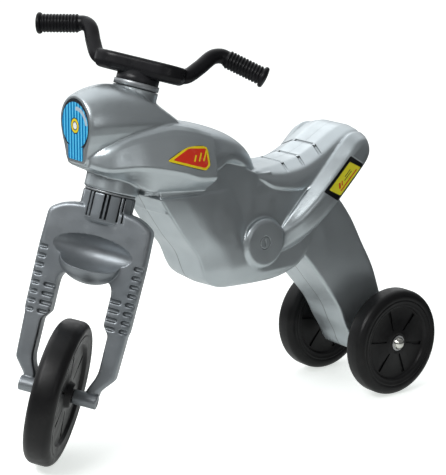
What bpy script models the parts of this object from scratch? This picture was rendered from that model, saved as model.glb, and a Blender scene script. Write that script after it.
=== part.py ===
"""Three-wheel ride-on motorcycle for a small child, modelled as its real assembly.

A hollow blow-moulded body carries the seat and the rear leg. A one-piece fork turns in the
body's head on a steel tube, with a one-piece handlebar on top. One wheel turns in the fork and
two on a steel axle through the rear leg. The bike faces -Y, +Z is up, the floor is z = 0.
The fork, handlebar and front wheel stand turned to the rider's left, as in the photograph.
"""
import math

import bmesh
import bpy
from mathutils import Matrix, Vector

# Driving dimensions, in metres
REAR_WHEEL_R = 0.076
REAR_WHEEL_W = 0.032
REAR_TRACK = 0.0738
FRONT_WHEEL_R = 0.0937
FRONT_WHEEL_W = 0.036
HALF_BASE = 0.2638
MID_PLANE_X = 0.0260
RAKE = 0.2988
STEER_REST = 0.7577
PIVOT_Y = -0.1162
PIVOT_Z = 0.4930
AXLE_AHEAD = 0.0239
AXLE_DROP = 0.4233
WALL = 0.004
GAP = 0.0003

# Head: stations along the steering axis, measured down from the handlebar pivot
UPPER_COLLAR_TOP = 0.0305
UPPER_COLLAR_R = 0.0292
LOWER_COLLAR_END = 0.1635
LOWER_COLLAR_R = 0.0345
BUSH_FLANGE = 0.0030
BUSH_SLEEVE = 0.0140
STEM_R = 0.0140
STEM_WALL = 0.0020
BUSH_BORE_R = STEM_R + 0.0004
BUSH_SLEEVE_R = STEM_R + 0.0030
HEAD_BORE_R = BUSH_SLEEVE_R + GAP

# Fork, in the steering frame: X across, -Y ahead, Z along the axis
SOCKET_R = 0.0337
SOCKET_TOP = -(LOWER_COLLAR_END + BUSH_FLANGE + 2 * GAP)
LEG_OUT = 0.0690
LEG_IN = 0.0350
LEG_DEPTH = 0.0280
LEG_AHEAD = 0.0120
CROWN_LOW = -0.2700
RIB_TOP = -0.2490
RIB_PITCH = 0.0115
RIB_COUNT = 8
RIB_INNER_COUNT = 4
TUBE_OUT = 0.0655
TUBE_IN = 0.0430
BOSS_R = 0.0095
BOSS_OUT = 0.0510
FRONT_HUB_HALF = 0.0190
FRONT_AXLE_R = 0.0050

# Handlebar
PAD_HALF = 0.0590
PAD_TOP = 0.0075
PAD_LOW = -0.0150
PAD_DEPTH = 0.0560
BAR_R = 0.0095
GRIP_IN = 0.0960
GRIP_OUT = 0.1430
GRIP_BACK = 0.0400
RIB_R = 0.0122
RIBS = 11
END_R = 0.0140
BAR_BOSS_R = 0.0272
BAR_BOSS_LOW = -(UPPER_COLLAR_TOP - BUSH_FLANGE - 2 * GAP)

# Rear axle group
REAR_AXLE_R = 0.0050
WASHER_R = 0.0110
WASHER_T = 0.0015
HUB_IN = 0.0150
CAP_R = 0.0080
CAP_H = 0.0062
STICKER_T = 0.0004

# Small turn that keeps the seams of round forms off the mid-plane and off each other
OFF_SEAM = 0.037

for item in list(bpy.data.objects):
    bpy.data.objects.remove(item, do_unlink=True)

scene = bpy.context.scene
parts = bpy.data.collections.new("ride_on_motorcycle")
guides = bpy.data.collections.new("guides")
scene.collection.children.link(parts)
scene.collection.children.link(guides)


def material(name, colour, roughness, metallic=0.0):
    """A Principled material of one moulded or metal finish."""
    made = bpy.data.materials.new(name)
    made.use_nodes = True
    shader = made.node_tree.nodes["Principled BSDF"]
    shader.inputs["Base Color"].default_value = (*colour, 1.0)
    shader.inputs["Roughness"].default_value = roughness
    shader.inputs["Metallic"].default_value = metallic
    made.diffuse_color = (*colour, 1.0)
    return made


GREY = material("grey_polyethylene", (0.20, 0.21, 0.23), 0.42)
BLACK = material("black_polypropylene", (0.016, 0.016, 0.018), 0.45)
WHEEL = material("wheel_black", (0.012, 0.013, 0.015), 0.50)
BUSH = material("bush_nylon", (0.42, 0.43, 0.44), 0.50)
STEEL = material("zinc_steel", (0.55, 0.55, 0.56), 0.30, 1.0)
CHROME = material("chromed_cap", (0.75, 0.74, 0.70), 0.12, 1.0)
BLUE = material("headlight_film", (0.05, 0.42, 0.72), 0.30)
RED = material("tank_film", (0.75, 0.08, 0.02), 0.30)
YELLOW = material("tail_film", (0.82, 0.68, 0.02), 0.30)


def place(mesh, name, finish, parent=None):
    made = bpy.data.objects.new(name, mesh)
    parts.objects.link(made)
    mesh.materials.clear()
    mesh.materials.append(finish)
    if parent:
        made.parent = parent
    return made


def from_bmesh(bm, name):
    bmesh.ops.recalc_face_normals(bm, faces=bm.faces)
    mesh = bpy.data.meshes.new(name)
    bm.to_mesh(mesh)
    bm.free()
    return mesh


def loft(name, rings):
    """Skin through closed rings of equal count, with a flat cap at each end."""
    bm = bmesh.new()
    rows = [[bm.verts.new(p) for p in ring] for ring in rings]
    count = len(rows[0])
    for a, b in zip(rows, rows[1:]):
        for i in range(count):
            j = (i + 1) % count
            bm.faces.new((a[i], a[j], b[j], b[i]))
    bm.faces.new(rows[0])
    bm.faces.new(rows[-1])
    bm.normal_update()
    bmesh.ops.triangulate(bm, faces=bm.faces)
    return from_bmesh(bm, name)


def table(pairs):
    """Smooth curve through (station, value) pairs."""
    keys = [p[0] for p in pairs]
    values = [p[1] for p in pairs]
    slopes = []
    for i in range(len(keys)):
        a, b = max(i - 1, 0), min(i + 1, len(keys) - 1)
        slopes.append((values[b] - values[a]) / (keys[b] - keys[a]))

    def value(x):
        if x <= keys[0]:
            return values[0]
        if x >= keys[-1]:
            return values[-1]
        i = max(k for k in range(len(keys)) if keys[k] <= x)
        i = min(i, len(keys) - 2)
        h = keys[i + 1] - keys[i]
        t = (x - keys[i]) / h
        a = values[i] * (1 + 2 * t) * (1 - t) ** 2 + slopes[i] * h * t * (1 - t) ** 2
        b = values[i + 1] * t * t * (3 - 2 * t) + slopes[i + 1] * h * t * t * (t - 1)
        return a + b

    return value


def rounded(corners, steps=2):
    """Polygon of (u, v, radius) corners with each corner turned through a soft arc."""
    out = []
    count = len(corners)
    for i, (u, v, radius) in enumerate(corners):
        here = Vector((u, v))
        if not radius:
            out.append(here)
            continue
        before = Vector(corners[i - 1][:2]) - here
        after = Vector(corners[(i + 1) % count][:2]) - here
        reach = min(radius, 0.48 * before.length, 0.48 * after.length)
        start = here + before.normalized() * reach
        end = here + after.normalized() * reach
        for k in range(steps + 1):
            t = k / steps
            out.append((1 - t) ** 2 * start + 2 * t * (1 - t) * here + t * t * end)
    return out


def both_sides(corners):
    """Corners of the +X half, listed from the bottom up, continued on the other side."""
    return corners + [(-u, v, r) for u, v, r in reversed(corners)]


def mitred(points, amount):
    """Closed outline whose edges all move inwards by the same amount."""
    count = len(points)
    area = sum(points[i].x * points[(i + 1) % count].y - points[(i + 1) % count].x * points[i].y
               for i in range(count))
    sign = 1.0 if area > 0 else -1.0
    out = []
    for i, p in enumerate(points):
        before = (p - points[i - 1]).normalized()
        after = (points[(i + 1) % count] - p).normalized()
        a = Vector((-before.y, before.x)) * sign
        b = Vector((-after.y, after.x)) * sign
        out.append(p + (a + b) * (amount / max(1.0 + a.dot(b), 0.35)))
    return out


def stations(first, last, count):
    return [first + (last - first) * i / (count - 1) for i in range(count)]


def along(levels, ring_of, lift, wall, ends=(1.0, 1.0)):
    """Rings of a form at its levels; the wall's thickness pulls the form in on every side."""
    rings = []
    low, high = levels[0] + wall * ends[0], levels[-1] - wall * ends[1]
    if wall:
        levels = [low] + [v for v in levels[1:-1:2] if low + wall < v < high - wall] + [high]
    for level in levels:
        corners = both_sides(ring_of(level))
        if wall:
            inner = mitred([Vector(c[:2]) for c in corners], wall)
            ring = rounded([(p.x, p.y, c[2] if c[2] > 0.0095 else 0) for p, c in zip(inner, corners)], 1)
        else:
            ring = rounded(corners)
        rings.append([lift(p, level) for p in ring])
    return rings


def cylinder(radius, low, high, segments=32, name="cylinder"):
    bm = bmesh.new()
    bmesh.ops.create_cone(bm, cap_ends=True, segments=segments, radius1=radius,
                          radius2=radius, depth=high - low)
    bmesh.ops.rotate(bm, verts=bm.verts, matrix=Matrix.Rotation(OFF_SEAM, 3, "Z"))
    bmesh.ops.translate(bm, vec=(0, 0, (low + high) / 2), verts=bm.verts)
    return from_bmesh(bm, name)


def turned(mesh, matrix):
    mesh.transform(matrix)
    return mesh


def ball(radii, centre, name="ball", segments=28, rings=16):
    bm = bmesh.new()
    bmesh.ops.create_uvsphere(bm, u_segments=segments, v_segments=rings, radius=1.0)
    bmesh.ops.rotate(bm, verts=bm.verts, matrix=Matrix.Rotation(OFF_SEAM, 3, "Z"))
    bmesh.ops.triangulate(bm, faces=bm.faces)
    mesh = from_bmesh(bm, name)
    mesh.transform(Matrix.Translation(centre) @ Matrix.Diagonal((*radii, 1.0)))
    return mesh


def revolve(profile, name, segments=48):
    """Closed (radius, height) profile turned about Z; points on the axis are shared."""
    bm = bmesh.new()
    rows = []
    for radius, height in profile:
        if radius < 1e-6:
            rows.append([bm.verts.new((0, 0, height))])
            continue
        row = []
        for i in range(segments):
            angle = OFF_SEAM + 2 * math.pi * i / segments
            row.append(bm.verts.new((radius * math.cos(angle), radius * math.sin(angle), height)))
        rows.append(row)
    pairs = list(zip(rows, rows[1:]))
    if len(rows[0]) > 1 and len(rows[-1]) > 1:
        pairs.append((rows[-1], rows[0]))
    for a, b in pairs:
        for i in range(segments):
            j = (i + 1) % segments
            if len(a) == 1:
                bm.faces.new((a[0], b[i], b[j]))
            elif len(b) == 1:
                bm.faces.new((a[i], a[j], b[0]))
            else:
                bm.faces.new((a[i], a[j], b[j], b[i]))
    return from_bmesh(bm, name)


def prism(outline, low, high, lift, name="prism"):
    """Outline of (u, v) points carried from low to high by lift(point, level)."""
    return loft(name, [[lift(p, low) for p in outline], [lift(p, high) for p in outline]])


def closed_volume(mesh, weld=0.0):
    """Volume of a closed mesh, or nothing where an edge is open or shared by more faces."""
    bm = bmesh.new()
    bm.from_mesh(mesh)
    if weld:
        bmesh.ops.remove_doubles(bm, verts=bm.verts, dist=weld)
    volume = bm.calc_volume() if all(len(e.link_faces) == 2 for e in bm.edges) else None
    bm.free()
    return volume


def tidied(mesh):
    """Collapse the slivers that a Boolean leaves and keep plain triangles, if it stays closed."""
    for method in ("BEAUTY", "EAR_CLIP"):
        bm = bmesh.new()
        bm.from_mesh(mesh)
        bmesh.ops.triangulate(bm, faces=bm.faces, ngon_method=method)
        bmesh.ops.dissolve_degenerate(bm, edges=bm.edges, dist=0.000002)
        bmesh.ops.triangulate(bm, faces=bm.faces)
        closed = all(len(e.link_faces) == 2 for e in bm.edges)
        if closed:
            bm.to_mesh(mesh)
        bm.free()
        if closed:
            break
    return mesh


def combine(target, tool, operation, name):
    """Boolean of two meshes; MANIFOLD where EXACT leaves an open edge or skips the step."""
    a = bpy.data.objects.new("a", target)
    b = bpy.data.objects.new("b", tool)
    guides.objects.link(a)
    guides.objects.link(b)
    step = a.modifiers.new("step", "BOOLEAN")
    step.operation = operation
    step.object = b
    before, other = closed_volume(target), closed_volume(tool)
    least, most = before * 0.999, before + other
    if operation == "DIFFERENCE":
        least -= other
        most = before - (0.4 * other if other > 0.3 * before else 0.0)
    if operation == "INTERSECT":
        least, most = 1e-9, min(before, other)
    for solver in ("EXACT", "MANIFOLD"):
        step.solver = solver
        bpy.context.view_layer.update()
        graph = bpy.context.evaluated_depsgraph_get()
        made = tidied(bpy.data.meshes.new_from_object(a.evaluated_get(graph)))
        volume = closed_volume(made)
        if volume and least < volume < most * 1.001:
            break
    made.name = name
    bpy.data.objects.remove(a)
    bpy.data.objects.remove(b)
    return made


def joined(meshes, name):
    whole = meshes[0]
    for more in meshes[1:]:
        whole = combine(whole, more, "UNION", name)
    return whole


def lean(mesh, degrees=2.2):
    """Merge faces that are nearly flat to each other, so flat areas cost few facets."""
    for share, method in ((1.0, "BEAUTY"), (1.0, "EAR_CLIP"), (0.6, "BEAUTY"), (0.6, "EAR_CLIP"),
                          (0.3, "BEAUTY"), (0.3, "EAR_CLIP"), (0.1, "EAR_CLIP")):
        bm = bmesh.new()
        bm.from_mesh(mesh)
        bmesh.ops.dissolve_limit(bm, angle_limit=math.radians(degrees * share), verts=bm.verts,
                                 edges=bm.edges)
        bmesh.ops.triangulate(bm, faces=bm.faces, ngon_method=method)
        closed = all(len(e.link_faces) == 2 for e in bm.edges)
        if closed:
            bm.to_mesh(mesh)
        bm.free()
        if closed:
            break
    return mesh


def thinned(mesh, share):
    """Fewer facets by collapsing the edges that change the form least."""
    made = bpy.data.objects.new("thinned", mesh)
    guides.objects.link(made)
    collapse = made.modifiers.new("collapse", "DECIMATE")
    for change in (0.0, 0.03, -0.03, 0.06, -0.06):
        collapse.ratio = share + change
        bpy.context.view_layer.update()
        graph = bpy.context.evaluated_depsgraph_get()
        result = bpy.data.meshes.new_from_object(made.evaluated_get(graph))
        if closed_volume(result, weld=0.000001):
            mesh = result
            break
    bpy.data.objects.remove(made)
    return mesh


def grouped(meshes, name):
    """Closed meshes that don't touch, held as one cutter."""
    bm = bmesh.new()
    for mesh in meshes:
        bm.from_mesh(mesh)
    made = bpy.data.meshes.new(name)
    bm.to_mesh(made)
    bm.free()
    return made


def without(mesh, cutters, name):
    for cutter in cutters:
        mesh = combine(mesh, cutter, "DIFFERENCE", name)
    return mesh


def smooth(made, angle=32):
    made.data.shade_smooth()
    made.data.set_sharp_from_angle(angle=math.radians(angle))
    return made


def mirror_x(mesh):
    other = mesh.copy()
    other.transform(Matrix.Diagonal((-1.0, 1.0, 1.0, 1.0)))
    other.flip_normals()
    return other


# Frames: the fixed head and the turned steering frame share the steering axis
HEAD = Matrix.Translation((0, PIVOT_Y, PIVOT_Z)) @ Matrix.Rotation(-RAKE, 4, "X")


def upright(p, y):
    """Section point (x, z) at station y."""
    return Vector((p.x, y, p.y))


def level_at(p, z):
    """Section point (x, y) at height z."""
    return Vector((p.x, p.y, z))


def side_at(p, x):
    """Outline point (y, z) at width x."""
    return Vector((x, p.x, p.y))


# Body forms. Each takes the wall's inset, so the same form makes the skin and the hollow.
tank_front, tank_back = -0.2120, -0.0530
rim_x = table([(-0.212, 0.027), (-0.195, 0.045), (-0.158, 0.061), (-0.130, 0.069),
               (-0.102, 0.0755), (-0.080, 0.078), (-0.053, 0.0775)])
rim_z = table([(-0.212, 0.382), (-0.195, 0.376), (-0.158, 0.3765), (-0.130, 0.372),
               (-0.102, 0.365), (-0.080, 0.357), (-0.053, 0.354)])
shoulder_x = table([(-0.212, 0.024), (-0.193, 0.041), (-0.163, 0.0505), (-0.130, 0.056),
                    (-0.108, 0.060), (-0.080, 0.066), (-0.053, 0.069)])
shoulder_z = table([(-0.212, 0.394), (-0.193, 0.403), (-0.163, 0.416), (-0.130, 0.423),
                    (-0.108, 0.425), (-0.080, 0.420), (-0.053, 0.411)])
under_z = table([(-0.212, 0.374), (-0.190, 0.364), (-0.160, 0.352), (-0.120, 0.334),
                 (-0.053, 0.326)])
under_x = table([(-0.212, 0.016), (-0.160, 0.034), (-0.053, 0.040)])


def tank(wall=0.0):
    def ring(y):
        rx, rz = rim_x(y), rim_z(y)
        sx, sz = shoulder_x(y), shoulder_z(y)
        ux, uz = under_x(y), min(under_z(y), rz - 0.008)
        lip = [(rx - 0.004, rz - 0.006, 0.0015), (rx, rz, 0.002)]
        if wall:
            lip = [(rx - 0.002, rz - 0.002, 0)]
        return [(ux * 0.5, uz, 0.004), (ux, uz, 0.008)] + lip + [
            (sx, sz, 0.022), (sx * 0.3, sz + 0.001, 0.01)]
    return loft("tank", along(stations(tank_front, tank_back, 9), ring, upright, wall, (4, 1)))


cowl_front, cowl_back = -0.2160, -0.0780
cowl_x = table([(-0.216, 0.0335), (-0.212, 0.0362), (-0.195, 0.0415), (-0.165, 0.0465),
                (-0.120, 0.0495), (-0.078, 0.0480)])
cowl_top = table([(-0.216, 0.4630), (-0.212, 0.4655), (-0.195, 0.4710), (-0.172, 0.4735),
                  (-0.155, 0.4715), (-0.130, 0.4690), (-0.078, 0.4650)])
cowl_mid = table([(-0.216, 0.4280), (-0.160, 0.4270), (-0.078, 0.4200)])
cowl_low = table([(-0.216, 0.3790), (-0.190, 0.3700), (-0.078, 0.3700)])


def cowl(wall=0.0):
    def ring(y):
        half, top, mid, low = cowl_x(y), cowl_top(y), cowl_mid(y), cowl_low(y)
        foot = min(half * 0.66, 0.026)
        side = [(foot * 0.8, low, 0), (foot, low + 0.006, 0), (half * 0.72, mid - 0.032, 0),
                (half * 0.93, mid - 0.016, 0)]
        for i in range(6):
            angle = math.pi / 2 * i / 6
            side.append((half * math.cos(angle), mid + (top - mid) * math.sin(angle), 0))
        return side + [(0.0015, top, 0)]
    mesh = loft("cowl", along([-0.216, -0.2145, -0.211, -0.202, -0.190, -0.172, -0.150, -0.115,
                               -0.078], ring, upright, wall))
    back = Vector((0.0, 0.0490, 0.0620)).normalized()
    slope = Matrix.Translation((0, -0.1540, 0.4725)) @ back.to_track_quat("Z", "X").to_matrix().to_4x4()
    block = bpy.data.meshes.new("slope")
    bm = bmesh.new()
    bmesh.ops.create_cube(bm, size=0.4)
    bmesh.ops.translate(bm, vec=(0, 0, 0.2 - wall), verts=bm.verts)
    bm.to_mesh(block)
    bm.free()
    block.transform(slope)
    return combine(mesh, block, "DIFFERENCE", "cowl")


def mound(wall=0.0):
    """Raised base of the steering neck, from the tank's top up to the collar."""
    rings = []
    shapes = [(0.0440, -0.185, -0.055, 0.4120), (0.0430, -0.180, -0.058, 0.4180),
              (0.0385, -0.170, -0.068, 0.4300), (0.0335, -0.162, -0.080, 0.4420),
              (0.0290, -0.157, -0.090, 0.4540)]
    for half, front, back, z in shapes:
        ring = []
        for i in range(20):
            angle = 2 * math.pi * (i + 0.5) / 20
            y = (front + back) / 2 + (back - front) / 2 * math.sin(angle)
            ring.append(Vector((half * math.cos(angle), y)))
        if wall:
            ring = mitred(ring, wall)
        rings.append([level_at(p, z - wall) for p in ring])
    return loft("mound", rings)


hump_x = table([(-0.130, 0.0420), (-0.100, 0.0560), (-0.070, 0.0645), (-0.045, 0.0640),
                (-0.020, 0.0600), (0.000, 0.0560), (0.020, 0.0500), (0.040, 0.0420),
                (0.054, 0.0320), (0.062, 0.0180)])
hump_top = table([(-0.130, 0.4170), (-0.100, 0.4180), (-0.070, 0.4150), (-0.045, 0.4125),
                  (-0.023, 0.4065), (0.002, 0.3975), (0.024, 0.3850), (0.045, 0.3650),
                  (0.058, 0.3500), (0.062, 0.3420)])
arch_z = table([(-0.130, 0.3900), (-0.070, 0.3500), (-0.036, 0.3580), (-0.018, 0.3650),
                (0.004, 0.3600), (0.020, 0.3520), (0.040, 0.3440), (0.062, 0.3360)])
HUMP_FLOOR = 0.3300


def hump(wall=0.0):
    """Rear of the tank, arched over the narrower side walls."""
    def ring(y):
        half, top, arch = hump_x(y), hump_top(y), arch_z(y)
        inner = min(half * 0.6, SIDE_WALL - 0.004)
        return [(inner * 0.5, HUMP_FLOOR, 0.002), (inner, HUMP_FLOOR, 0.002),
                (inner, arch - 0.003, 0.002),
                (half * 0.96, arch, 0.005), (half, (arch + top) / 2 - 0.004, 0.012),
                (half * 0.82, top - 0.007, 0.020), (half * 0.3, top, 0.012)]
    levels = [-0.130, -0.100, -0.070, -0.045, -0.023, -0.003, 0.017, 0.032, 0.044, 0.054, 0.062]
    return loft("hump", along(levels, ring, upright, wall, (1, 4)))


prow_y = table([(0.1865, 0.012), (0.190, -0.012), (0.197, -0.032), (0.207, -0.046),
                (0.217, -0.052), (0.244, -0.064), (0.270, -0.085), (0.318, -0.117),
                (0.345, -0.132)])
stern_y = table([(0.1865, 0.070), (0.190, 0.088), (0.197, 0.106), (0.212, 0.130),
                 (0.240, 0.150), (0.300, 0.165), (0.345, 0.170)])
belly_x = table([(0.1865, 0.024), (0.190, 0.034), (0.197, 0.042), (0.207, 0.047),
                 (0.225, 0.0515), (0.300, 0.0530), (0.345, 0.0500)])


# The front cover's flank ends on a line that slants down to the belly; a bevel leads from it
# to the side wall behind
flank_end = table([(0.1865, 0.0558), (0.1950, 0.0510), (0.2054, 0.0401), (0.2562, 0.0036),
                   (0.3081, -0.0219), (0.3600, -0.0400)])
bevel_end = table([(0.1865, 0.0572), (0.1950, 0.0580), (0.2116, 0.0500), (0.2388, 0.0290),
                   (0.2645, 0.0205), (0.3028, 0.0078), (0.3246, -0.0050), (0.3600, -0.0260)])
SIDE_WALL = 0.0465
ENGINE_TOP = 0.3270


def engine(wall=0.0):
    """Lower body: a prowed front cover that closes into the rounded belly."""
    def ring(z):
        front, back, half = prow_y(z), stern_y(z), belly_x(z)
        chamfer = 0.68 * half
        side = min(half, SIDE_WALL)
        return [(0.003, front, 0.001), (chamfer, front + 0.56 * chamfer, 0.006),
                (half, front + 0.56 * chamfer + 0.034, 0.012), (half, flank_end(z), 0.010),
                (side, bevel_end(z), 0.003), (side, back - 0.012, 0.008), (side * 0.6, back, 0.008)]
    levels = [0.1865, 0.190, 0.197, 0.207, 0.222, 0.246, 0.276, 0.310, ENGINE_TOP]
    return loft("engine", along(levels, ring, level_at, wall, (1.5, 1)))


WAIST_FRONT, WAIST_BACK, WAIST_TOP = -0.1280, 0.0350, 0.3700


def waist(wall=0.0):
    """Side walls carried up under the tank and its hump."""
    def ring(z):
        flank = flank_end(z)
        return [(0.020, WAIST_FRONT, 0.004), (0.050, WAIST_FRONT + 0.040, 0.010),
                (0.0525, flank, 0.010), (SIDE_WALL, bevel_end(z), 0.003),
                (SIDE_WALL, WAIST_BACK, 0.004), (0.022, WAIST_BACK, 0.004)]
    levels = [0.305, 0.324, 0.343, WAIST_TOP]
    return loft("waist", along(levels, ring, level_at, wall))


seat_top = table([(-0.020, 0.345), (0.060, 0.3450), (0.093, 0.3455), (0.127, 0.3510),
                  (0.156, 0.3630), (0.186, 0.3790), (0.206, 0.3855), (0.222, 0.3810),
                  (0.234, 0.3660)])
seat_low = table([(-0.020, 0.3340), (0.025, 0.3370), (0.041, 0.3310), (0.067, 0.3175),
                  (0.114, 0.3104), (0.150, 0.3160), (0.200, 0.3350), (0.234, 0.3500)])
seat_flat = table([(-0.020, 0.0430), (0.030, 0.0430), (0.060, 0.0330), (0.094, 0.0240),
                   (0.125, 0.0220), (0.234, 0.0220)])
SEAT_SIDE = 0.0490


def seat(wall=0.0):
    """Saddle: a flat down the middle, sloping flanks and an edge that stands off the side wall."""
    def ring(y):
        top, low, flat = seat_top(y), seat_low(y), seat_flat(y)
        brow = max(0.0405, flat + 0.002)
        drop = min(0.0190, 0.55 * (top - low))
        return [(SEAT_SIDE * 0.5, low, 0.002), (SEAT_SIDE - 0.002, low, 0.002),
                (SEAT_SIDE, low + 0.004, 0.002), (SEAT_SIDE - 0.0005, top - drop, 0.007),
                (brow, top - 0.55 * drop, 0.008), (flat, top, 0.003)]
    levels = [-0.020, 0.030, 0.060, 0.080, 0.100, 0.122, 0.145, 0.170, 0.190, 0.205, 0.218]
    return loft("seat", along(levels, ring, upright, wall))


# Side rails run diagonally; s is measured along them and w across them, from the upper edge
RAIL_RUN = Vector((0.723, 0.691)).normalized()
RAIL_ACROSS = Vector((RAIL_RUN.y, -RAIL_RUN.x))
RAIL_ORIGIN = Vector((0.0910, 0.3080))
rail_x = table([(-0.064, 0.0500), (-0.045, 0.0540), (-0.015, 0.0640), (0.020, 0.0695),
                (0.045, 0.0705), (0.105, 0.0705), (0.122, 0.0690), (0.1310, 0.0640),
                (0.1380, 0.0540)])
rail_up = table([(-0.064, 0.0290), (-0.045, 0.0230), (-0.020, 0.0205), (0.020, 0.0195),
                 (0.105, 0.0180), (0.122, 0.0200), (0.1310, 0.0255), (0.1380, 0.0340)])
rail_low = table([(-0.064, 0.0560), (-0.040, 0.0640), (0.000, 0.0680), (0.105, 0.0680),
                  (0.122, 0.0650), (0.1310, 0.0590), (0.1380, 0.0510)])
RAIL_INNER = 0.0500


def rail_point(s, w):
    return RAIL_ORIGIN + RAIL_RUN * s + RAIL_ACROSS * w


def rails(wall=0.0):
    def lift(p, s):
        q = rail_point(s, p.y)
        return Vector((p.x, q.x, q.y))

    def ring(s):
        x, up, low = rail_x(s), rail_up(s), rail_low(s)
        return [(x * 0.5, low, 0.006), (x - 0.012, low, 0.012),
                (x, low - 0.012, 0.008), (x, up + 0.0115, 0.006),
                (min(RAIL_INNER, x - 0.004), up, 0.003), (0.036, up + 0.010, 0.003)]
    levels = [-0.064, -0.045, -0.022, 0.0, 0.024, 0.050, 0.100, 0.115, 0.124, 0.131, 0.138]
    return loft("rails", along(levels, ring, lift, wall))


leg_front = table([(0.052, 0.2440), (0.058, 0.2330), (0.068, 0.2260), (0.080, 0.2210),
                   (0.100, 0.2090), (0.129, 0.1940), (0.165, 0.1650), (0.200, 0.1360),
                   (0.230, 0.1100), (0.262, 0.1050), (0.290, 0.1150)])
leg_back = table([(0.052, 0.2820), (0.058, 0.2920), (0.068, 0.2970), (0.080, 0.2975),
                  (0.100, 0.2910), (0.120, 0.2820), (0.147, 0.2700), (0.184, 0.2530),
                  (0.219, 0.2320), (0.254, 0.2120), (0.276, 0.1960), (0.290, 0.1840)])
leg_x = table([(0.052, 0.0320), (0.080, 0.0345), (0.129, 0.0390), (0.165, 0.0430),
               (0.200, 0.0450), (0.290, 0.0470)])


def rear_leg(wall=0.0):
    def ring(z):
        front, back, half = leg_front(z), leg_back(z), leg_x(z)
        return [(half * 0.5, front, 0.004), (half, front, 0.0045),
                (half, back, 0.0100), (half * 0.5, back, 0.006)]
    levels = [0.052, 0.057, 0.067, 0.084, 0.108, 0.136, 0.165, 0.200, 0.245, 0.290]
    return loft("rear_leg", along(levels, ring, level_at, wall))


def head_tube(wall=0.0):
    low = -LOWER_COLLAR_END + (0.006 if wall else 0.0)
    high = -UPPER_COLLAR_TOP - (0.006 if wall else 0.0)
    lower = revolve([(0, low), (LOWER_COLLAR_R - 0.001 - wall, low),
                     (LOWER_COLLAR_R - wall, low + 0.001), (LOWER_COLLAR_R - wall, -0.134),
                     (0.0285 - wall, -0.128), (0.0285 - wall, -0.060),
                     (UPPER_COLLAR_R - wall, -0.052), (UPPER_COLLAR_R - wall, high - 0.001),
                     (UPPER_COLLAR_R - 0.001 - wall, high), (0, high)], "head_tube", 32)
    return turned(lower, HEAD)


BOSS_Y, BOSS_Z, BOSS_WIDE = 0.0450, 0.2480, 0.0335


def engine_boss(wall=0.0):
    top = 0.0570 - wall
    drum = revolve([(0, 0.030), (BOSS_WIDE - wall, 0.030), (BOSS_WIDE - wall, top - 0.004),
                    (BOSS_WIDE - 0.004 - wall, top), (0, top)], "engine_boss", 36)
    return turned(drum, Matrix.Translation((0, BOSS_Y, BOSS_Z)) @ Matrix.Rotation(math.pi / 2, 4, "Y"))


def all_forms(wall=0.0):
    boss = engine_boss(wall)
    forms = [tank(wall), cowl(wall), mound(wall), hump(wall), engine(wall), waist(wall), seat(wall),
             rails(wall), rear_leg(wall), head_tube(wall), boss, mirror_x(boss)]
    return joined(forms, "body_form")


def bar_cutter(start, end, radius, name):
    """Round bar between two points, for grooves."""
    start, end = Vector(start), Vector(end)
    run = end - start
    mesh = cylinder(radius, 0.0, run.length, 12, name)
    mesh.transform(Matrix.Translation(start) @ run.to_track_quat("Z", "X").to_matrix().to_4x4())
    return mesh


def seat_groove(y):
    """Round groove across the seat's flat and down its flanks."""
    z = seat_top(y) + 0.0006
    flat = seat_flat(y) - 0.0005
    cuts = [bar_cutter((-flat, y, z), (flat, y, z), 0.0016, "groove")]
    for side in (-1, 1):
        outer = (side * (flat + 0.0175), y + 0.005, z - 0.0145)
        cuts.append(bar_cutter((side * (flat - 0.001), y, z), outer, 0.0016, "groove"))
    return joined(cuts, "seat_groove")


RAIL_FACE = 0.0705
PANEL_S, PANEL_W = 0.0672, 0.0452
PANEL_LONG, PANEL_WIDE, PANEL_DEPTH = 0.0640, 0.0300, 0.0015


def panel_outline(long, wide, radius):
    ring = []
    for u, v in ((-1, -1), (1, -1), (1, 1), (-1, 1)):
        lean = 0.004 * v
        q = rail_point(PANEL_S + u * long / 2 + lean, PANEL_W + v * wide / 2)
        ring.append((q.x, q.y, radius))
    return rounded(ring)


skin = thinned(all_forms(), 0.55)
hollow = thinned(all_forms(WALL), 0.40)
cutters = [hollow]
for groove_y in (0.0980, 0.1270, 0.1560):
    cutters.append(seat_groove(groove_y))
for side in (1, -1):
    recess = prism(panel_outline(PANEL_LONG, PANEL_WIDE, 0.003), RAIL_FACE - PANEL_DEPTH, 0.09,
                   side_at, "recess")
    cutters.append(recess if side > 0 else mirror_x(recess))
cutters.append(turned(cylinder(UPPER_COLLAR_R + 0.0006, -UPPER_COLLAR_TOP, 0.0, 32), HEAD))
cutters.append(turned(cylinder(HEAD_BORE_R, -0.18, -0.02, 40), HEAD))
cross = Matrix.Translation((0, HALF_BASE, REAR_WHEEL_R)) @ Matrix.Rotation(math.pi / 2, 4, "Y")
cutters.append(turned(cylinder(REAR_AXLE_R + 0.0006, -0.09, 0.09, 24), cross))
sealed = without(skin, cutters[1:-3], "sealed")
body = place(thinned(without(skin, cutters, "body_shell"), 0.9), "body_shell", GREY)
smooth(body)


def film(name, outline, side, finish):
    """Thin printed film on the body's side: the outline cut from a skin that lies just off it."""
    sheet = prism(outline, 0.050, 0.095, side_at, name)
    for lift, operation in ((GAP + STICKER_T, "INTERSECT"), (GAP, "DIFFERENCE")):
        moved = sealed.copy()
        moved.transform(Matrix.Translation((lift, 0, 0)))
        sheet = combine(sheet, moved, operation, name)
    if side < 0:
        sheet = mirror_x(sheet)
    return smooth(place(lean(sheet, 1.0), name, finish))


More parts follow.
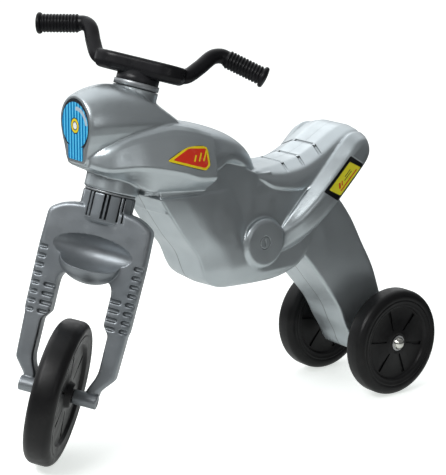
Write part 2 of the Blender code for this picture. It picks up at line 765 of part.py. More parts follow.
def lamp_outline():
    """Round lens above a narrower tongue."""
    half_wide, half_high, mid = 0.0292, 0.0330, 0.4268
    points = [Vector((0.0, mid + half_high))]
    meet = math.radians(-57)
    for i in range(1, 19):
        angle = math.pi / 2 + (meet - math.pi / 2) * i / 18
        points.append(Vector((half_wide * math.cos(angle), mid + half_high * math.sin(angle))))
    points += [Vector((0.0158, 0.3850)), Vector((0.0140, 0.3832))]
    return points + [Vector((-p.x, p.y)) for p in reversed(points[1:])]


place(prism(lamp_outline(), cowl_front - GAP - STICKER_T, cowl_front - GAP,
            lambda p, y: Vector((p.x, y, p.y)), "headlight_sticker"),
      "headlight_sticker", BLUE)
TANK_BADGE = rounded([(-0.1270, 0.3815, 0.006), (-0.0950, 0.3980, 0.016), (-0.0660, 0.3950, 0.008),
                      (-0.0640, 0.3700, 0.008), (-0.0720, 0.3640, 0.008)])
TAIL_PLATE = panel_outline(0.0510, 0.0225, 0.0015)
for side, word in ((1, "left"), (-1, "right")):
    film(f"tank_sticker_{word}", TANK_BADGE, side, RED)
    film(f"tail_sticker_{word}", TAIL_PLATE, side, YELLOW)


def bush(name, top, up):
    """Flanged bush pressed into the head; the flange faces up or down the axis."""
    sign = 1.0 if up else -1.0
    outer = (UPPER_COLLAR_R if up else LOWER_COLLAR_R) - 0.0022
    profile = [(BUSH_BORE_R, sign * BUSH_FLANGE), (outer - 0.0006, sign * BUSH_FLANGE),
               (outer, sign * (BUSH_FLANGE - 0.0006)), (outer, 0.0),
               (BUSH_SLEEVE_R, 0.0), (BUSH_SLEEVE_R, -sign * BUSH_SLEEVE),
               (BUSH_BORE_R, -sign * BUSH_SLEEVE)]
    mesh = revolve(profile, name, 24)
    made = place(mesh, name, BUSH)
    made.matrix_world = HEAD @ Matrix.Translation((0, 0, top))
    return smooth(made)


bush("upper_head_bush", -UPPER_COLLAR_TOP + GAP, True)
bush("lower_head_bush", -LOWER_COLLAR_END - GAP, False)

steering = bpy.data.objects.new("steering", None)
parts.objects.link(steering)
steering.matrix_world = HEAD @ Matrix.Rotation(STEER_REST, 4, "Z")


def plate_at(p, ahead):
    """Outline point (x, z) of the steering frame at a distance ahead of its axis."""
    return Vector((p.x, -ahead, p.y))


FORK_HALF = [(0.0300, -0.1850, 0.004), (0.0490, -0.1895, 0.014), (LEG_OUT - 0.002, -0.2070, 0.016),
             (LEG_OUT, -0.2480, 0.01), (LEG_OUT - 0.001, -0.3300, 0.0015),
             (TUBE_OUT + 0.001, -0.3350, 0.0015), (TUBE_OUT - 0.001, -0.3930, 0.004),
             (BOSS_OUT - 0.002, -0.4120, 0.003), (BOSS_OUT - 0.003, -0.4220, 0.002),
             (0.0300, -0.4220, 0.002), (0.0350, -0.4080, 0.004), (TUBE_IN, -0.3900, 0.010),
             (TUBE_IN, -0.3390, 0.002), (LEG_IN, -0.3280, 0.002), (LEG_IN, -0.2820, 0.008),
             (0.0250, CROWN_LOW, 0.01)]
LEG_POCKET = [(LEG_IN + 0.0035, -0.2850), (LEG_IN + 0.0035, -0.3260), (TUBE_IN + 0.0035, -0.3380),
              (TUBE_IN + 0.0035, -0.3920), (TUBE_OUT - 0.0040, -0.3920), (TUBE_OUT - 0.0040, -0.3370),
              (LEG_OUT - 0.0040, -0.3300), (LEG_OUT - 0.0040, -0.2260), (0.0520, -0.2260)]


def edged(corners, levels, lift, name):
    """Plate through (level, inset) pairs: every ring is the outline moved in, then rounded."""
    flat = [Vector(c[:2]) for c in corners]
    rings = []
    for level, amount in levels:
        moved = mitred(flat, amount)
        ring = rounded([(q.x, q.y, c[2]) for q, c in zip(moved, corners)])
        rings.append([lift(q, level) for q in ring])
    return loft(name, rings)


def fork_mesh():
    back, front = LEG_AHEAD - LEG_DEPTH / 2, LEG_AHEAD + LEG_DEPTH / 2
    levels = [(back, 0.0010), (back + 0.0010, 0.0), (front - 0.0045, 0.0),
              (front - 0.0016, 0.0016), (front, 0.0045)]
    plate = edged(both_sides(FORK_HALF), levels, plate_at, "fork_plate")
    socket = revolve([(0, SOCKET_TOP), (SOCKET_R - 0.001, SOCKET_TOP),
                      (SOCKET_R, SOCKET_TOP - 0.001), (SOCKET_R, -0.196),
                      (SOCKET_R - 0.006, -0.226), (0.0, -0.240)], "socket", 32)
    bowl = ball((0.0470, 0.0330, 0.0300), (0, -0.0180, -0.2530), "bowl")
    bosses = []
    for side in (1, -1):
        low, high = FRONT_HUB_HALF + 2 * GAP, BOSS_OUT
        drum = cylinder(BOSS_R, low, high, 24, "axle_boss")
        drum.transform(Matrix.Translation((0, -AXLE_AHEAD, -AXLE_DROP))
                       @ Matrix.Rotation(side * math.pi / 2, 4, "Y"))
        bosses.append(drum)
    slots = []
    for side in (-1, 1):
        for k in range(RIB_COUNT):
            z = RIB_TOP - k * RIB_PITCH
            slots.append(rib_slot(side, 0.0565, LEG_OUT + 0.01, z, front))
            if k >= RIB_COUNT - RIB_INNER_COUNT:
                slots.append(rib_slot(side, LEG_IN - 0.01, 0.0500, z, front))
    pockets = [prism([Vector((side * x, z)) for x, z in LEG_POCKET], back - 0.02, front - 0.0065,
                     plate_at, "pocket") for side in (1, -1)]
    plate = without(plate, [grouped(slots, "slots"), grouped(pockets, "pockets")], "fork_plate")
    whole = thinned(joined([plate, socket, bowl] + bosses, "fork"), 0.6)
    flutes = []
    for k in range(10):
        turn = Matrix.Rotation(2 * math.pi * k / 10, 4, "Z")
        for side in (-0.0019, 0.0019):
            ring = [Vector((side + u * 0.0011, -SOCKET_R + v))
                    for u, v in ((-1, 0.0022), (1, 0.0022), (1, -0.01), (-1, -0.01))]
            flute = prism(ring, -0.2020, SOCKET_TOP - 0.0020, level_at, "flute")
            flute.transform(turn)
            flutes.append(flute)
    bore = cylinder(FRONT_AXLE_R + 0.0003, -0.08, 0.08, 24, "axle_bore")
    bore.transform(Matrix.Translation((0, -AXLE_AHEAD, -AXLE_DROP))
                   @ Matrix.Rotation(math.pi / 2, 4, "Y"))
    cuts = [grouped(flutes, "flutes"), ball((0.0450, 0.0300, 0.0235), (0, -0.0450, -0.2400), "dish"),
            cylinder(STEM_R + 0.0002, -0.2290, -0.15, 32, "stem_bore"), bore]
    return lean(without(whole, cuts, "fork"))


def rib_slot(side, inner, outer, z, front):
    """One gaiter groove, open at the leg's side and cut from its front."""
    h = 0.0024
    ring = rounded([(side * inner, z - h, 0.0018), (side * outer, z - h, 0.001),
                    (side * outer, z + h, 0.001), (side * inner, z + h, 0.0018)], 2)
    return prism(ring, front - 0.0035, front + 0.02, plate_at, "rib_slot")


fork = place(fork_mesh(), "fork", GREY, parent=steering)
smooth(fork)


def swept(name, path, radius):
    """Round bar along a smooth path, from a bevelled curve."""
    curve = bpy.data.curves.new(name, "CURVE")
    curve.dimensions = "3D"
    curve.bevel_depth = radius
    curve.bevel_resolution = 2
    curve.use_fill_caps = True
    line = curve.splines.new("POLY")
    line.points.add(len(path) - 1)
    for point, place_at in zip(line.points, path):
        point.co = (*place_at, 1.0)
    made = bpy.data.objects.new(name, curve)
    guides.objects.link(made)
    bpy.context.view_layer.update()
    graph = bpy.context.evaluated_depsgraph_get()
    mesh = bpy.data.meshes.new_from_object(made.evaluated_get(graph))
    bpy.data.objects.remove(made)
    bm = bmesh.new()
    bm.from_mesh(mesh)
    bmesh.ops.remove_doubles(bm, verts=bm.verts, dist=0.00001)
    return from_bmesh(bm, name)


def bar_path(side):
    """Centre line of one arm, from inside the pad out to the grip."""
    knots = [(0.0400, 0.0, -0.0040), (0.0580, 0.0060, -0.0010), (0.0700, 0.0180, 0.0140),
             (0.0800, 0.0300, 0.0300), (0.0900, 0.0380, 0.0350), (GRIP_IN + 0.004, GRIP_BACK, 0.0335)]
    fine = []
    for i in range(len(knots) - 1):
        a = Vector(knots[max(i - 1, 0)])
        b, c = Vector(knots[i]), Vector(knots[i + 1])
        d = Vector(knots[min(i + 2, len(knots) - 1)])
        for k in range(3):
            t = k / 3
            fine.append(0.5 * ((2 * b) + (c - a) * t + (2 * a - 5 * b + 4 * c - d) * t * t
                               + (3 * b - a - 3 * c + d) * t ** 3))
    fine.append(Vector(knots[-1]))
    return [Vector((side * p.x, p.y, p.z)) for p in fine]


def grip_mesh(side):
    start = Vector((side * GRIP_IN, GRIP_BACK, 0.0338))
    end = Vector((side * (GRIP_OUT + 0.010), GRIP_BACK + 0.001, 0.0210))
    length = (end - start).length
    body_end = length - 0.0075
    profile = [(0, 0), (BAR_R, 0)]
    pitch = (body_end - 0.004) / RIBS
    for k in range(RIBS):
        at = 0.003 + k * pitch
        profile += [(BAR_R + 0.0006, at), (RIB_R, at + pitch * 0.20), (RIB_R, at + pitch * 0.62)]
    profile += [(BAR_R + 0.0006, body_end), (END_R - 0.0015, body_end), (END_R, body_end + 0.0015),
                (END_R, length - 0.003), (END_R - 0.002, length - 0.0008), (END_R * 0.5, length),
                (0, length + 0.0002)]
    mesh = revolve(profile, "grip", 16)
    run = end - start
    mesh.transform(Matrix.Translation(start) @ run.to_track_quat("Z", "X").to_matrix().to_4x4())
    return mesh


def pad_mesh():
    half, deep = PAD_HALF, PAD_DEPTH / 2
    corners = [(half, -0.012, 0.008), (0.040, -deep, 0.012), (-0.040, -deep, 0.012),
               (-half, -0.012, 0.008), (-half, 0.016, 0.010), (-0.040, deep, 0.012),
               (0.040, deep, 0.012), (half, 0.016, 0.010)]
    levels = [(PAD_LOW, 0.0070), (PAD_LOW + 0.0030, 0.0025), (PAD_LOW + 0.0080, 0.0),
              (PAD_TOP - 0.0050, 0.0), (PAD_TOP - 0.0015, 0.0015), (PAD_TOP, 0.0050)]
    return edged(corners, levels, level_at, "pad")


def handlebar_mesh():
    pieces = [pad_mesh()]
    boss = revolve([(0, BAR_BOSS_LOW), (BAR_BOSS_R - 0.001, BAR_BOSS_LOW),
                    (BAR_BOSS_R, BAR_BOSS_LOW + 0.001), (BAR_BOSS_R, PAD_LOW + 0.006),
                    (0, PAD_LOW + 0.008)], "boss", 32)
    pieces.append(boss)
    for side in (1, -1):
        pieces.append(swept("arm", bar_path(side), BAR_R + 0.0002))
        pieces.append(grip_mesh(side))
    whole = thinned(joined(pieces, "handlebar"), 0.6)
    bore = cylinder(STEM_R + 0.0002, -0.05, -0.0010, 32, "stem_bore")
    return lean(without(whole, [bore], "handlebar"))


handlebar = place(handlebar_mesh(), "handlebar", BLACK, parent=steering)
smooth(handlebar)

stem = place(revolve([(STEM_R - STEM_WALL, -0.0020), (STEM_R, -0.0020), (STEM_R, -0.2280),
                      (STEM_R - STEM_WALL, -0.2280)], "steering_stem", 24),
             "steering_stem", STEEL, parent=steering)
smooth(stem)


def wheel_profile(radius, width, hub_half, hub_ring, bore, web):
    """Half-round tread, side walls and a dished web, turned about the axle."""
    half = width / 2
    shoulder = 0.28 * width
    side = [(bore, hub_half), (HUB_IN, hub_half), (HUB_IN + 0.002, hub_half - 0.0015),
            (HUB_IN + 0.0035, web), (hub_ring - 0.002, web), (hub_ring, half - 0.0035),
            (hub_ring + 0.0035, half - 0.0012), (radius - shoulder - 0.004, half - 0.0002)]
    for k in range(1, 3):
        angle = math.pi / 2 * k / 3
        side.append((radius - shoulder * (1 - math.sin(angle)) - 0.0008 * math.cos(angle),
                     half - shoulder * (1 - math.cos(angle))))
    side.append((radius, half - shoulder))
    other = [(r, -h) for r, h in reversed(side)]
    return side + other


def wheel_mesh(name, radius, width, hub_half, hub_ring, bore):
    web = width / 2 - 0.0060
    mesh = revolve(wheel_profile(radius, width, hub_half, hub_ring, bore, web), name, 30)
    cuts = []
    for face in (1, -1):
        for k in range(6):
            inner, outer = 0.34 * hub_ring, 0.93 * hub_ring
            ring = [Vector((inner, -0.0010)), Vector((outer, -0.0030)), Vector((outer, 0.0016)),
                    Vector((inner, 0.0010))]
            low, high = (web - 0.0022, web + 0.01) if face > 0 else (-web - 0.01, -web + 0.0022)
            slot = prism(ring, low, high, level_at, "spoke")
            slot.transform(Matrix.Rotation(math.pi / 3 * k + 0.35, 4, "Z"))
            cuts.append(slot)
    mesh = without(mesh, [grouped(cuts, "spokes")], name)
    mesh.transform(Matrix.Rotation(math.pi / 2, 4, "Y"))
    return mesh


front_wheel = place(wheel_mesh("front_wheel", FRONT_WHEEL_R, FRONT_WHEEL_W, FRONT_HUB_HALF,
                               0.0660, FRONT_AXLE_R + 0.0005), "front_wheel", WHEEL,
                    parent=steering)
front_wheel.location = (0, -AXLE_AHEAD, -AXLE_DROP)
smooth(front_wheel)

front_axle = place(revolve([(0, BOSS_OUT - 0.0010), (FRONT_AXLE_R - 0.0005, BOSS_OUT - 0.0010),
                            (FRONT_AXLE_R, BOSS_OUT - 0.0015), (FRONT_AXLE_R, 0.0015 - BOSS_OUT),
                            (FRONT_AXLE_R - 0.0005, 0.0010 - BOSS_OUT), (0, 0.0010 - BOSS_OUT)],
                           "front_axle", 20), "front_axle", STEEL, parent=steering)
front_axle.data.transform(Matrix.Rotation(math.pi / 2, 4, "Y"))
front_axle.location = (0, -AXLE_AHEAD, -AXLE_DROP)
smooth(front_axle)

# Rear axle group, outwards from the leg: washer, wheel, washer, domed cap on the axle's end
FOOT_FACE = leg_x(REAR_WHEEL_R + 0.0130)
REAR_HUB_HALF = REAR_WHEEL_W / 2 - 0.0030
SPACER_R = 0.0120
CAP_FACE = REAR_TRACK + REAR_HUB_HALF + 2 * GAP + WASHER_T
AXLE_END = CAP_FACE + 0.0035

rear_axle = place(revolve([(0, AXLE_END), (REAR_AXLE_R - 0.0004, AXLE_END),
                           (REAR_AXLE_R, AXLE_END - 0.0004), (REAR_AXLE_R, -AXLE_END + 0.0004),
                           (REAR_AXLE_R - 0.0004, -AXLE_END), (0, -AXLE_END)], "rear_axle", 20),
                  "rear_axle", STEEL)
rear_axle.data.transform(Matrix.Rotation(math.pi / 2, 4, "Y"))
rear_axle.location = (0, HALF_BASE, REAR_WHEEL_R)
smooth(rear_axle)


def rear_wheel(name, side):
    mesh = wheel_mesh(name, REAR_WHEEL_R, REAR_WHEEL_W, REAR_HUB_HALF, 0.0525,
                      REAR_AXLE_R + 0.0005)
    made = place(mesh, name, WHEEL)
    made.location = (side * REAR_TRACK, HALF_BASE, REAR_WHEEL_R)
    return smooth(made)


def tube_on_axle(name, side, start, end, outer, finish):
    bore = REAR_AXLE_R + 0.0004
    edge = min(0.0005, (end - start) / 4)
    mesh = revolve([(bore, start), (outer - edge, start), (outer, start + edge),
                    (outer, end - edge), (outer - edge, end), (bore, end)], name, 20)
    mesh.transform(Matrix.Rotation(side * math.pi / 2, 4, "Y"))
    made = place(mesh, name, finish)
    made.location = (0, HALF_BASE, REAR_WHEEL_R)
    return smooth(made)


def axle_cap(name, side):
    """Domed push-on cap: a thin cup over the axle's end with a small flange."""
    base = CAP_FACE
    bore = REAR_AXLE_R + 0.0002
    profile = [(bore, base), (CAP_R + 0.0006, base), (CAP_R + 0.0006, base + 0.0008),
               (CAP_R, base + 0.0012)]
    for k in range(1, 6):
        angle = math.pi / 2 * k / 6
        profile.append((CAP_R * math.cos(angle), base + 0.0012 + (CAP_H - 0.0012) * math.sin(angle)))
    bore_cut = cylinder(bore, base - 0.002, AXLE_END + GAP, 16, "bore")
    solid = revolve([(0, base)] + profile[1:] + [(0, base + CAP_H)], name, 20)
    mesh = without(solid, [bore_cut], name)
    mesh.transform(Matrix.Rotation(side * math.pi / 2, 4, "Y"))
    made = place(mesh, name, CHROME)
    made.location = (0, HALF_BASE, REAR_WHEEL_R)
    return smooth(made)


for side, word in ((1, "left"), (-1, "right")):
    rear_wheel(f"rear_wheel_{word}", side)
    hub_inner = REAR_TRACK - REAR_HUB_HALF
    hub_outer = REAR_TRACK + REAR_HUB_HALF
    tube_on_axle(f"rear_spacer_{word}", side, FOOT_FACE + 0.0006, hub_inner - GAP, SPACER_R, BUSH)
    tube_on_axle(f"rear_washer_{word}", side, hub_outer + GAP, hub_outer + GAP + WASHER_T,
                 WASHER_R, STEEL)
    axle_cap(f"rear_cap_{word}", side)

# The handlebar is turned to one side, so the mid-plane stands beside the origin
ride_on = bpy.data.objects.new("ride_on", None)
parts.objects.link(ride_on)
for made in list(parts.objects):
    if made.parent is None and made is not ride_on:
        made.parent = ride_on
ride_on.location = (MID_PLANE_X, 0, 0)
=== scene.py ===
"""Looks for the ride-on motorcycle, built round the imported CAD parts."""
import math

import bmesh
import bpy
from mathutils import Matrix, Vector


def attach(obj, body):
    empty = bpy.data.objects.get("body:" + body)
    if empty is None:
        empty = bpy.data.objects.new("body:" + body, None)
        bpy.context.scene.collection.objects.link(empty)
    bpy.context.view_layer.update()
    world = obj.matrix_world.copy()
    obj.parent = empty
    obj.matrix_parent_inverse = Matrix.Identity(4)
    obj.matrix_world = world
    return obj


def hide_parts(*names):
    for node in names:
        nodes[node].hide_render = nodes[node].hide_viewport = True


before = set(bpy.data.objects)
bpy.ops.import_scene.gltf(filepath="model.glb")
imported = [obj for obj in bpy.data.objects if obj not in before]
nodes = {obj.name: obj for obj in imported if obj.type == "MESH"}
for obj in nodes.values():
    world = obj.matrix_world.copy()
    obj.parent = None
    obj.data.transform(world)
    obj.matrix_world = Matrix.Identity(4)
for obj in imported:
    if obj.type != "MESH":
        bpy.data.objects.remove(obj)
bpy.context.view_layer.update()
scene = bpy.context.scene

# Forms are drawn about x = 0; BASE moves them to the part's middle plane.
MID = 0.026
BASE = Matrix.Translation((MID, 0, 0))
FLOOR, FLOOR_REACH, FLOOR_GLOW = -0.0002, 6.0, 0.66
# The floor in gloss, a painted pool of light round the object: where it dims, its glow, and its
# loss beyond and all over.
GLOSS_EDGE, GLOSS_GLOW, GLOSS_BEYOND, GLOSS_LOSS = (0.35, 0.95), 0.74, 0.85, 0.55
WALL_SIDE = (-0.7, 0.14, 0.7)
WALL_EDGE, WALL_DARK, WALL_LIT = (0.3, 0.96), 0.16, 1.2
RAKE, STEER_REST = 0.2988, 0.7577
PIVOT_Y, PIVOT_Z = -0.1162, 0.493
HEAD = Matrix.Translation((0, PIVOT_Y, PIVOT_Z)) @ Matrix.Rotation(-RAKE, 4, "X")
STEERED = HEAD @ Matrix.Rotation(STEER_REST, 4, "Z")
HEAD_TOP, HEAD_LOW = -0.0305, -0.1635
UPPER_R, LOWER_R, SOCKET_R, STEM_ROOM = 0.0292, 0.0345, 0.0337, 0.0142
AXLE_AHEAD, AXLE_DROP = 0.0239, 0.4233
FRONT_HUB = Matrix.Translation((0, -AXLE_AHEAD, -AXLE_DROP))
REAR_X, REAR_Y, REAR_Z, REAR_HUB = 0.0738, 0.2638, 0.076, 0.013
# Wheels: radius, width, half the hub's width, radius of the dish
FRONT_WHEEL, REAR_WHEEL = (0.0936, 0.036, 0.019, 0.066), (0.0759, 0.032, REAR_HUB, 0.0525)
GAP, WASHER = 0.0003, 0.0015
SIDE_WALL, SEAT_SIDE = 0.0465, 0.049
GROOVES, GROOVE_R = (0.098, 0.127, 0.156), 0.0023
BOSS_Y, BOSS_Z, BOSS_WIDE, BOSS_FACE = 0.045, 0.248, 0.0335, 0.057
RAIL_FACE, RAIL_START = 0.0705, Vector((0.091, 0.308))
RAIL_RUN = Vector((0.723, 0.691)).normalized()
PANEL_S, PANEL_W, PANEL_LEAN, PANEL_DEPTH = 0.0672, 0.0452, 0.004, 0.0015
PANEL_SIZE, PLATE_SIZE = (0.064, 0.03), (0.051, 0.0225)
SLOT_TOP, SLOT_PITCH, SLOT_HALF, SLOT_ROUND = -0.249, 0.0115, 0.0026, 0.0022
LENS_Z, LENS_R, LENS_FLUTE = 0.4268, 0.0292, 0.0062
AXIS_GAP = 0.00002
CAMERA_PLACE = (1.7244 + MID, -1.35, 0.8098)
CAMERA_ANGLES = [math.radians(a) for a in (51.6, 14.3, 0.49)]
FOCAL_PIXELS, FRAME_PIXELS, SENSOR = 1700.0, 475.0, 36.0


def rail_point(s, w):
    """Side view point s along the diagonal rails and w across them."""
    return RAIL_START + RAIL_RUN * s + Vector((RAIL_RUN.y, -RAIL_RUN.x)) * w


def panel_corners(long, wide):
    """Corners (y, z) of a slanted panel on the rail's side face."""
    return [rail_point(PANEL_S + u * long / 2 + PANEL_LEAN * v, PANEL_W + v * wide / 2)
            for u, v in ((-1, -1), (1, -1), (1, 1), (-1, 1))]


def circle(count):
    """Points round the unit circle, as (cos, sin) pairs."""
    return [(math.cos(a), math.sin(a)) for a in (2 * math.pi * i / count for i in range(count))]


def linked(name, data):
    """New object in the scene."""
    made = bpy.data.objects.new(name, data)
    scene.collection.objects.link(made)
    return made


class Graph:
    """Short calls for building the nodes of one material or world."""

    def __init__(self, owner, place="Object"):
        owner.use_nodes = True
        self.owner, self.tree = owner, owner.node_tree
        self.place = self.add("TexCoord").outputs[place]

    def add(self, kind, **settings):
        node = self.tree.nodes.new("ShaderNode" + kind)
        for key, value in settings.items():
            setattr(node, key, value)
        return node

    def put(self, socket, value):
        """Link, number or colour without alpha for one socket."""
        if hasattr(value, "is_output"):
            self.tree.links.new(value, socket)
        else:
            socket.default_value = (*value, 1.0) if socket.type == "RGBA" else value

    def fill(self, node, *values, **named):
        """Puts values in a node's first sockets, or in sockets by name."""
        for socket, value in zip(node.inputs, values):
            self.put(socket, value)
        for name, value in named.items():
            self.put(node.inputs[name.replace("_", " ")], value)
        return node

    def math(self, operation, a, b=0.0, c=0.0):
        return self.fill(self.add("Math", operation=operation), a, b, c).outputs[0]

    def times(self, a, b):
        return self.math("MULTIPLY", a, b)

    def plus(self, a, b):
        return self.math("ADD", a, b)

    def minus(self, a, b):
        return self.math("SUBTRACT", a, b)

    def length(self, a, b):
        """Length of the flat vector (a, b)."""
        return self.math("SQRT", self.plus(self.math("POWER", a, 2.0), self.math("POWER", b, 2.0)))

    def vector(self, operation, a, b):
        node = self.fill(self.add("VectorMath", operation=operation), a, b)
        return node.outputs["Value" if operation == "DOT_PRODUCT" else "Vector"]

    def split(self):
        return self.fill(self.add("SeparateXYZ"), self.place).outputs

    def noise(self, scale, detail=3.0, rough=0.5, stretch=(1, 1, 1)):
        spot = self.vector("MULTIPLY", self.place, stretch)
        return self.fill(self.add("TexNoise"), Vector=spot, Scale=scale, Detail=detail,
                         Roughness=rough).outputs["Fac"]

    def spread(self, value, low, high, start=0.0, end=1.0, kind="LINEAR"):
        """Value mapped from low..high to start..end, and held beyond them."""
        node = self.add("MapRange", interpolation_type=kind)
        return self.fill(node, value, low, high, start, end).outputs[0]

    def mix(self, share, a, b):
        node = self.add("Mix", data_type="RGBA")
        for i, value in ((0, share), (6, a), (7, b)):  # the factor and the two colours
            self.put(node.inputs[i], value)
        return node.outputs[2]

    def bump(self, height, distance, strength, under=None):
        node = self.fill(self.add("Bump"), Strength=strength, Distance=distance, Height=height)
        if under is not None:
            self.put(node.inputs["Normal"], under)
        return node.outputs[0]

    def edge(self, low, high):
        """0 to 1 towards the surface's sharp edges."""
        return self.spread(self.add("NewGeometry").outputs["Pointiness"], low, high)

    def shade(self, base, reach):
        """Painted shade: colour darkened where nearby surfaces close it in, as in grooves and
        seams.
        """
        node = self.fill(self.add("AmbientOcclusion", samples=8), Distance=reach)
        closed = self.spread(node.outputs["AO"], 0.25, 0.85, 0.75, 0.0)
        return self.mix(closed, base, (0.008, 0.009, 0.01))

    def shown(self, *kinds):
        """1 for rays of these kinds."""
        rays = self.add("LightPath").outputs
        level = rays[kinds[0]]
        for kind in kinds[1:]:
            level = self.math("MAXIMUM", level, rays[kind])
        return level

    def done(self, **sockets):
        self.fill(self.tree.nodes["Principled BSDF"], **sockets)
        return self.owner


def inside_of(g, u, v, corners):
    """Distance inside a convex outline of (u, v) corners, with softly rounded corners."""
    points = [Vector(c) for c in corners]
    middle = sum(points, Vector((0, 0))) / len(points)
    nearest = None
    for p, q in zip(points, points[1:] + points[:1]):
        normal = Vector((-(q - p).y, (q - p).x)).normalized()
        if normal.dot(middle - p) < 0:
            normal = -normal
        across = g.plus(g.times(u, normal.x), g.times(v, normal.y))
        edge = g.minus(across, normal.dot(p))
        nearest = edge if nearest is None else g.math("SMOOTH_MIN", nearest, edge, 0.003)
    return nearest


def moulded_plastic(name, colour, pale, rough, peel=0.0001, scuffs=0.5, seam=False, pearl=0.0,
                    reach=0.012, gloss=0.5):
    """Polyethylene: slow colour drift, orange peel, handling scuffs, paler worn edges and painted
    shade in grooves and seams.

    With seam, also the mould's parting line and the rails' dark recesses.
    """
    g = Graph(bpy.data.materials.new(name))
    drift = g.spread(g.noise(9.0, 4.0), 0.35, 0.65)
    base = g.mix(g.times(drift, 0.16), colour, pale)
    streak = g.spread(g.noise(46.0, 6.0, 0.7, (1.0, 0.25, 2.4)), 0.62, 0.78)
    scratch = g.spread(g.noise(210.0, 2.0, 0.6, (1.0, 0.1, 1.0)), 0.66, 0.74)
    marks = g.times(g.math("MAXIMUM", streak, scratch), scuffs)
    base = g.mix(g.times(marks, 0.3), base, pale)
    base = g.mix(g.times(g.edge(0.53, 0.62), 0.28), base, pale)
    normal = g.bump(g.noise(420.0, 2.0), peel, 0.55)
    if seam:
        x, y, z = g.split()
        out = g.math("ABSOLUTE", g.minus(x, MID))
        ridge = g.spread(out, 0.0003, 0.0009, 1.0, 0.0, "SMOOTHSTEP")
        normal = g.bump(ridge, 0.0003, 0.8, normal)
        low_part = g.spread(z, 0.33, 0.345, 0.65, 0.08)
        base = g.mix(g.times(ridge, low_part), base, (0.03, 0.032, 0.035))
        sunk = g.times(g.spread(out, RAIL_FACE - 0.0009, RAIL_FACE - 0.0005, 1.0, 0.0),
                       g.spread(out, RAIL_FACE - 0.004, RAIL_FACE - 0.0035))
        panel = g.spread(inside_of(g, y, z, panel_corners(*PANEL_SIZE)), -0.0004, 0.0004)
        base = g.mix(g.times(sunk, panel), base, (0.018, 0.02, 0.024))
    # Painted shade: colour darkened in grooves, seams and hollows, as far out as reach.
    base = g.shade(base, reach)
    drift_rough = g.spread(g.noise(60.0, 3.0), 0.3, 0.7, rough - 0.05, rough + 0.07)
    roughness = g.plus(drift_rough, g.times(marks, 0.14))
    return g.done(Base_Color=base, Roughness=roughness, Normal=normal, IOR=1.5, Metallic=pearl,
                  Specular_IOR_Level=gloss)


def tread_plastic(name, colour, dust, rough):
    """Wheel plastic: fine moulding grain, patches of dust and scuffed edges."""
    g = Graph(bpy.data.materials.new(name))
    cloud = g.spread(g.noise(38.0, 5.0, 0.65), 0.52, 0.72)
    fleck = g.spread(g.noise(620.0, 2.0), 0.6, 0.72)
    worn = g.times(cloud, g.plus(0.35, g.times(fleck, 0.65)))
    base = g.mix(g.times(worn, 0.3), colour, dust)
    base = g.mix(g.times(g.edge(0.53, 0.63), 0.35), base, dust)
    normal = g.bump(g.noise(900.0, 2.0), 0.00008, 0.6)
    roughness = g.spread(g.noise(75.0, 3.0), 0.3, 0.7, rough - 0.05, rough + 0.1)
    return g.done(Base_Color=base, Roughness=roughness, Normal=normal, IOR=1.48,
                  Specular_IOR_Level=0.3)


def drawn_metal(name, colour, rough, along):
    """Metal with fine drawing or turning lines and a few dull spots."""
    g = Graph(bpy.data.materials.new(name))
    lines = g.noise(900.0, 3.0, 0.6, along)
    spots = g.spread(g.noise(160.0, 4.0, 0.6), 0.56, 0.72)
    base = g.mix(g.times(spots, 0.25), colour, tuple(0.55 * c for c in colour))
    roughness = g.plus(g.spread(lines, 0.3, 0.7, rough - 0.04, rough + 0.06),
                       g.times(spots, 0.15))
    normal = g.bump(lines, 0.00003, 0.4)
    return g.done(Base_Color=base, Metallic=1.0, Roughness=roughness, Normal=normal)


def lens_print():
    """Headlamp label: fluted blue lens with a plain round bulb and one soft glint."""
    g = Graph(bpy.data.materials.new("lens_print"))
    x, _, z = g.split()
    x, up = g.minus(x, MID), g.minus(z, LENS_Z)
    flute = g.math("SINE", g.times(x, 2 * math.pi / LENS_FLUTE))
    base = g.mix(g.spread(flute, -0.15, 0.25), (0.006, 0.16, 0.4), (0.045, 0.47, 0.76))
    base = g.mix(g.spread(flute, 0.93, 0.99), base, (0.22, 0.62, 0.86))
    bulb = g.length(x, g.times(g.plus(up, 0.001), 0.92))
    for edge, colour in ((0.0092, (0.015, 0.03, 0.05)), (0.008, (0.72, 0.56, 0.02)),
                         (0.005, (0.025, 0.05, 0.08)), (0.0038, (0.78, 0.8, 0.76))):
        base = g.mix(g.spread(bulb, edge, edge + 0.0004, 1.0, 0.0), base, colour)
    rim = g.length(g.minus(x, 0.004), up)
    ring = g.times(g.spread(rim, 0.0182, 0.0188), g.spread(rim, 0.0232, 0.0238, 1.0, 0.0))
    sector = g.times(g.spread(up, 0.002, 0.003),
                     g.spread(g.minus(x, g.times(up, 0.25)), -0.004, -0.003))
    base = g.mix(g.times(g.times(ring, sector), 0.9), base, (0.42, 0.5, 0.55))
    lower = g.spread(up, -0.0262, -0.026, 1.0, 0.0)
    inside = g.plus(g.minus(LENS_R, g.length(x, up)), g.times(lower, 0.05))
    base = g.mix(g.spread(inside, 0.0002, 0.001, 1.0, 0.0), base, (0.02, 0.025, 0.03))
    normal = g.bump(g.noise(300.0, 2.0), 0.00004, 0.4)
    return g.done(Base_Color=base, Roughness=0.24, Normal=normal, IOR=1.5)


def bar_mask(g, u, v, middle, lean, half_long, half_wide):
    """Slanted bar: 1 inside, 0 outside."""
    run = Vector((math.cos(lean), math.sin(lean)))
    du, dv = g.minus(u, middle[0]), g.minus(v, middle[1])
    along = g.plus(g.times(du, run.x), g.times(dv, run.y))
    across = g.plus(g.times(du, -run.y), g.times(dv, run.x))
    return g.times(*(g.spread(g.math("ABSOLUTE", off), half - 0.0001, half + 0.0001, 1.0, 0.0)
                     for off, half in ((along, half_long), (across, half_wide))))


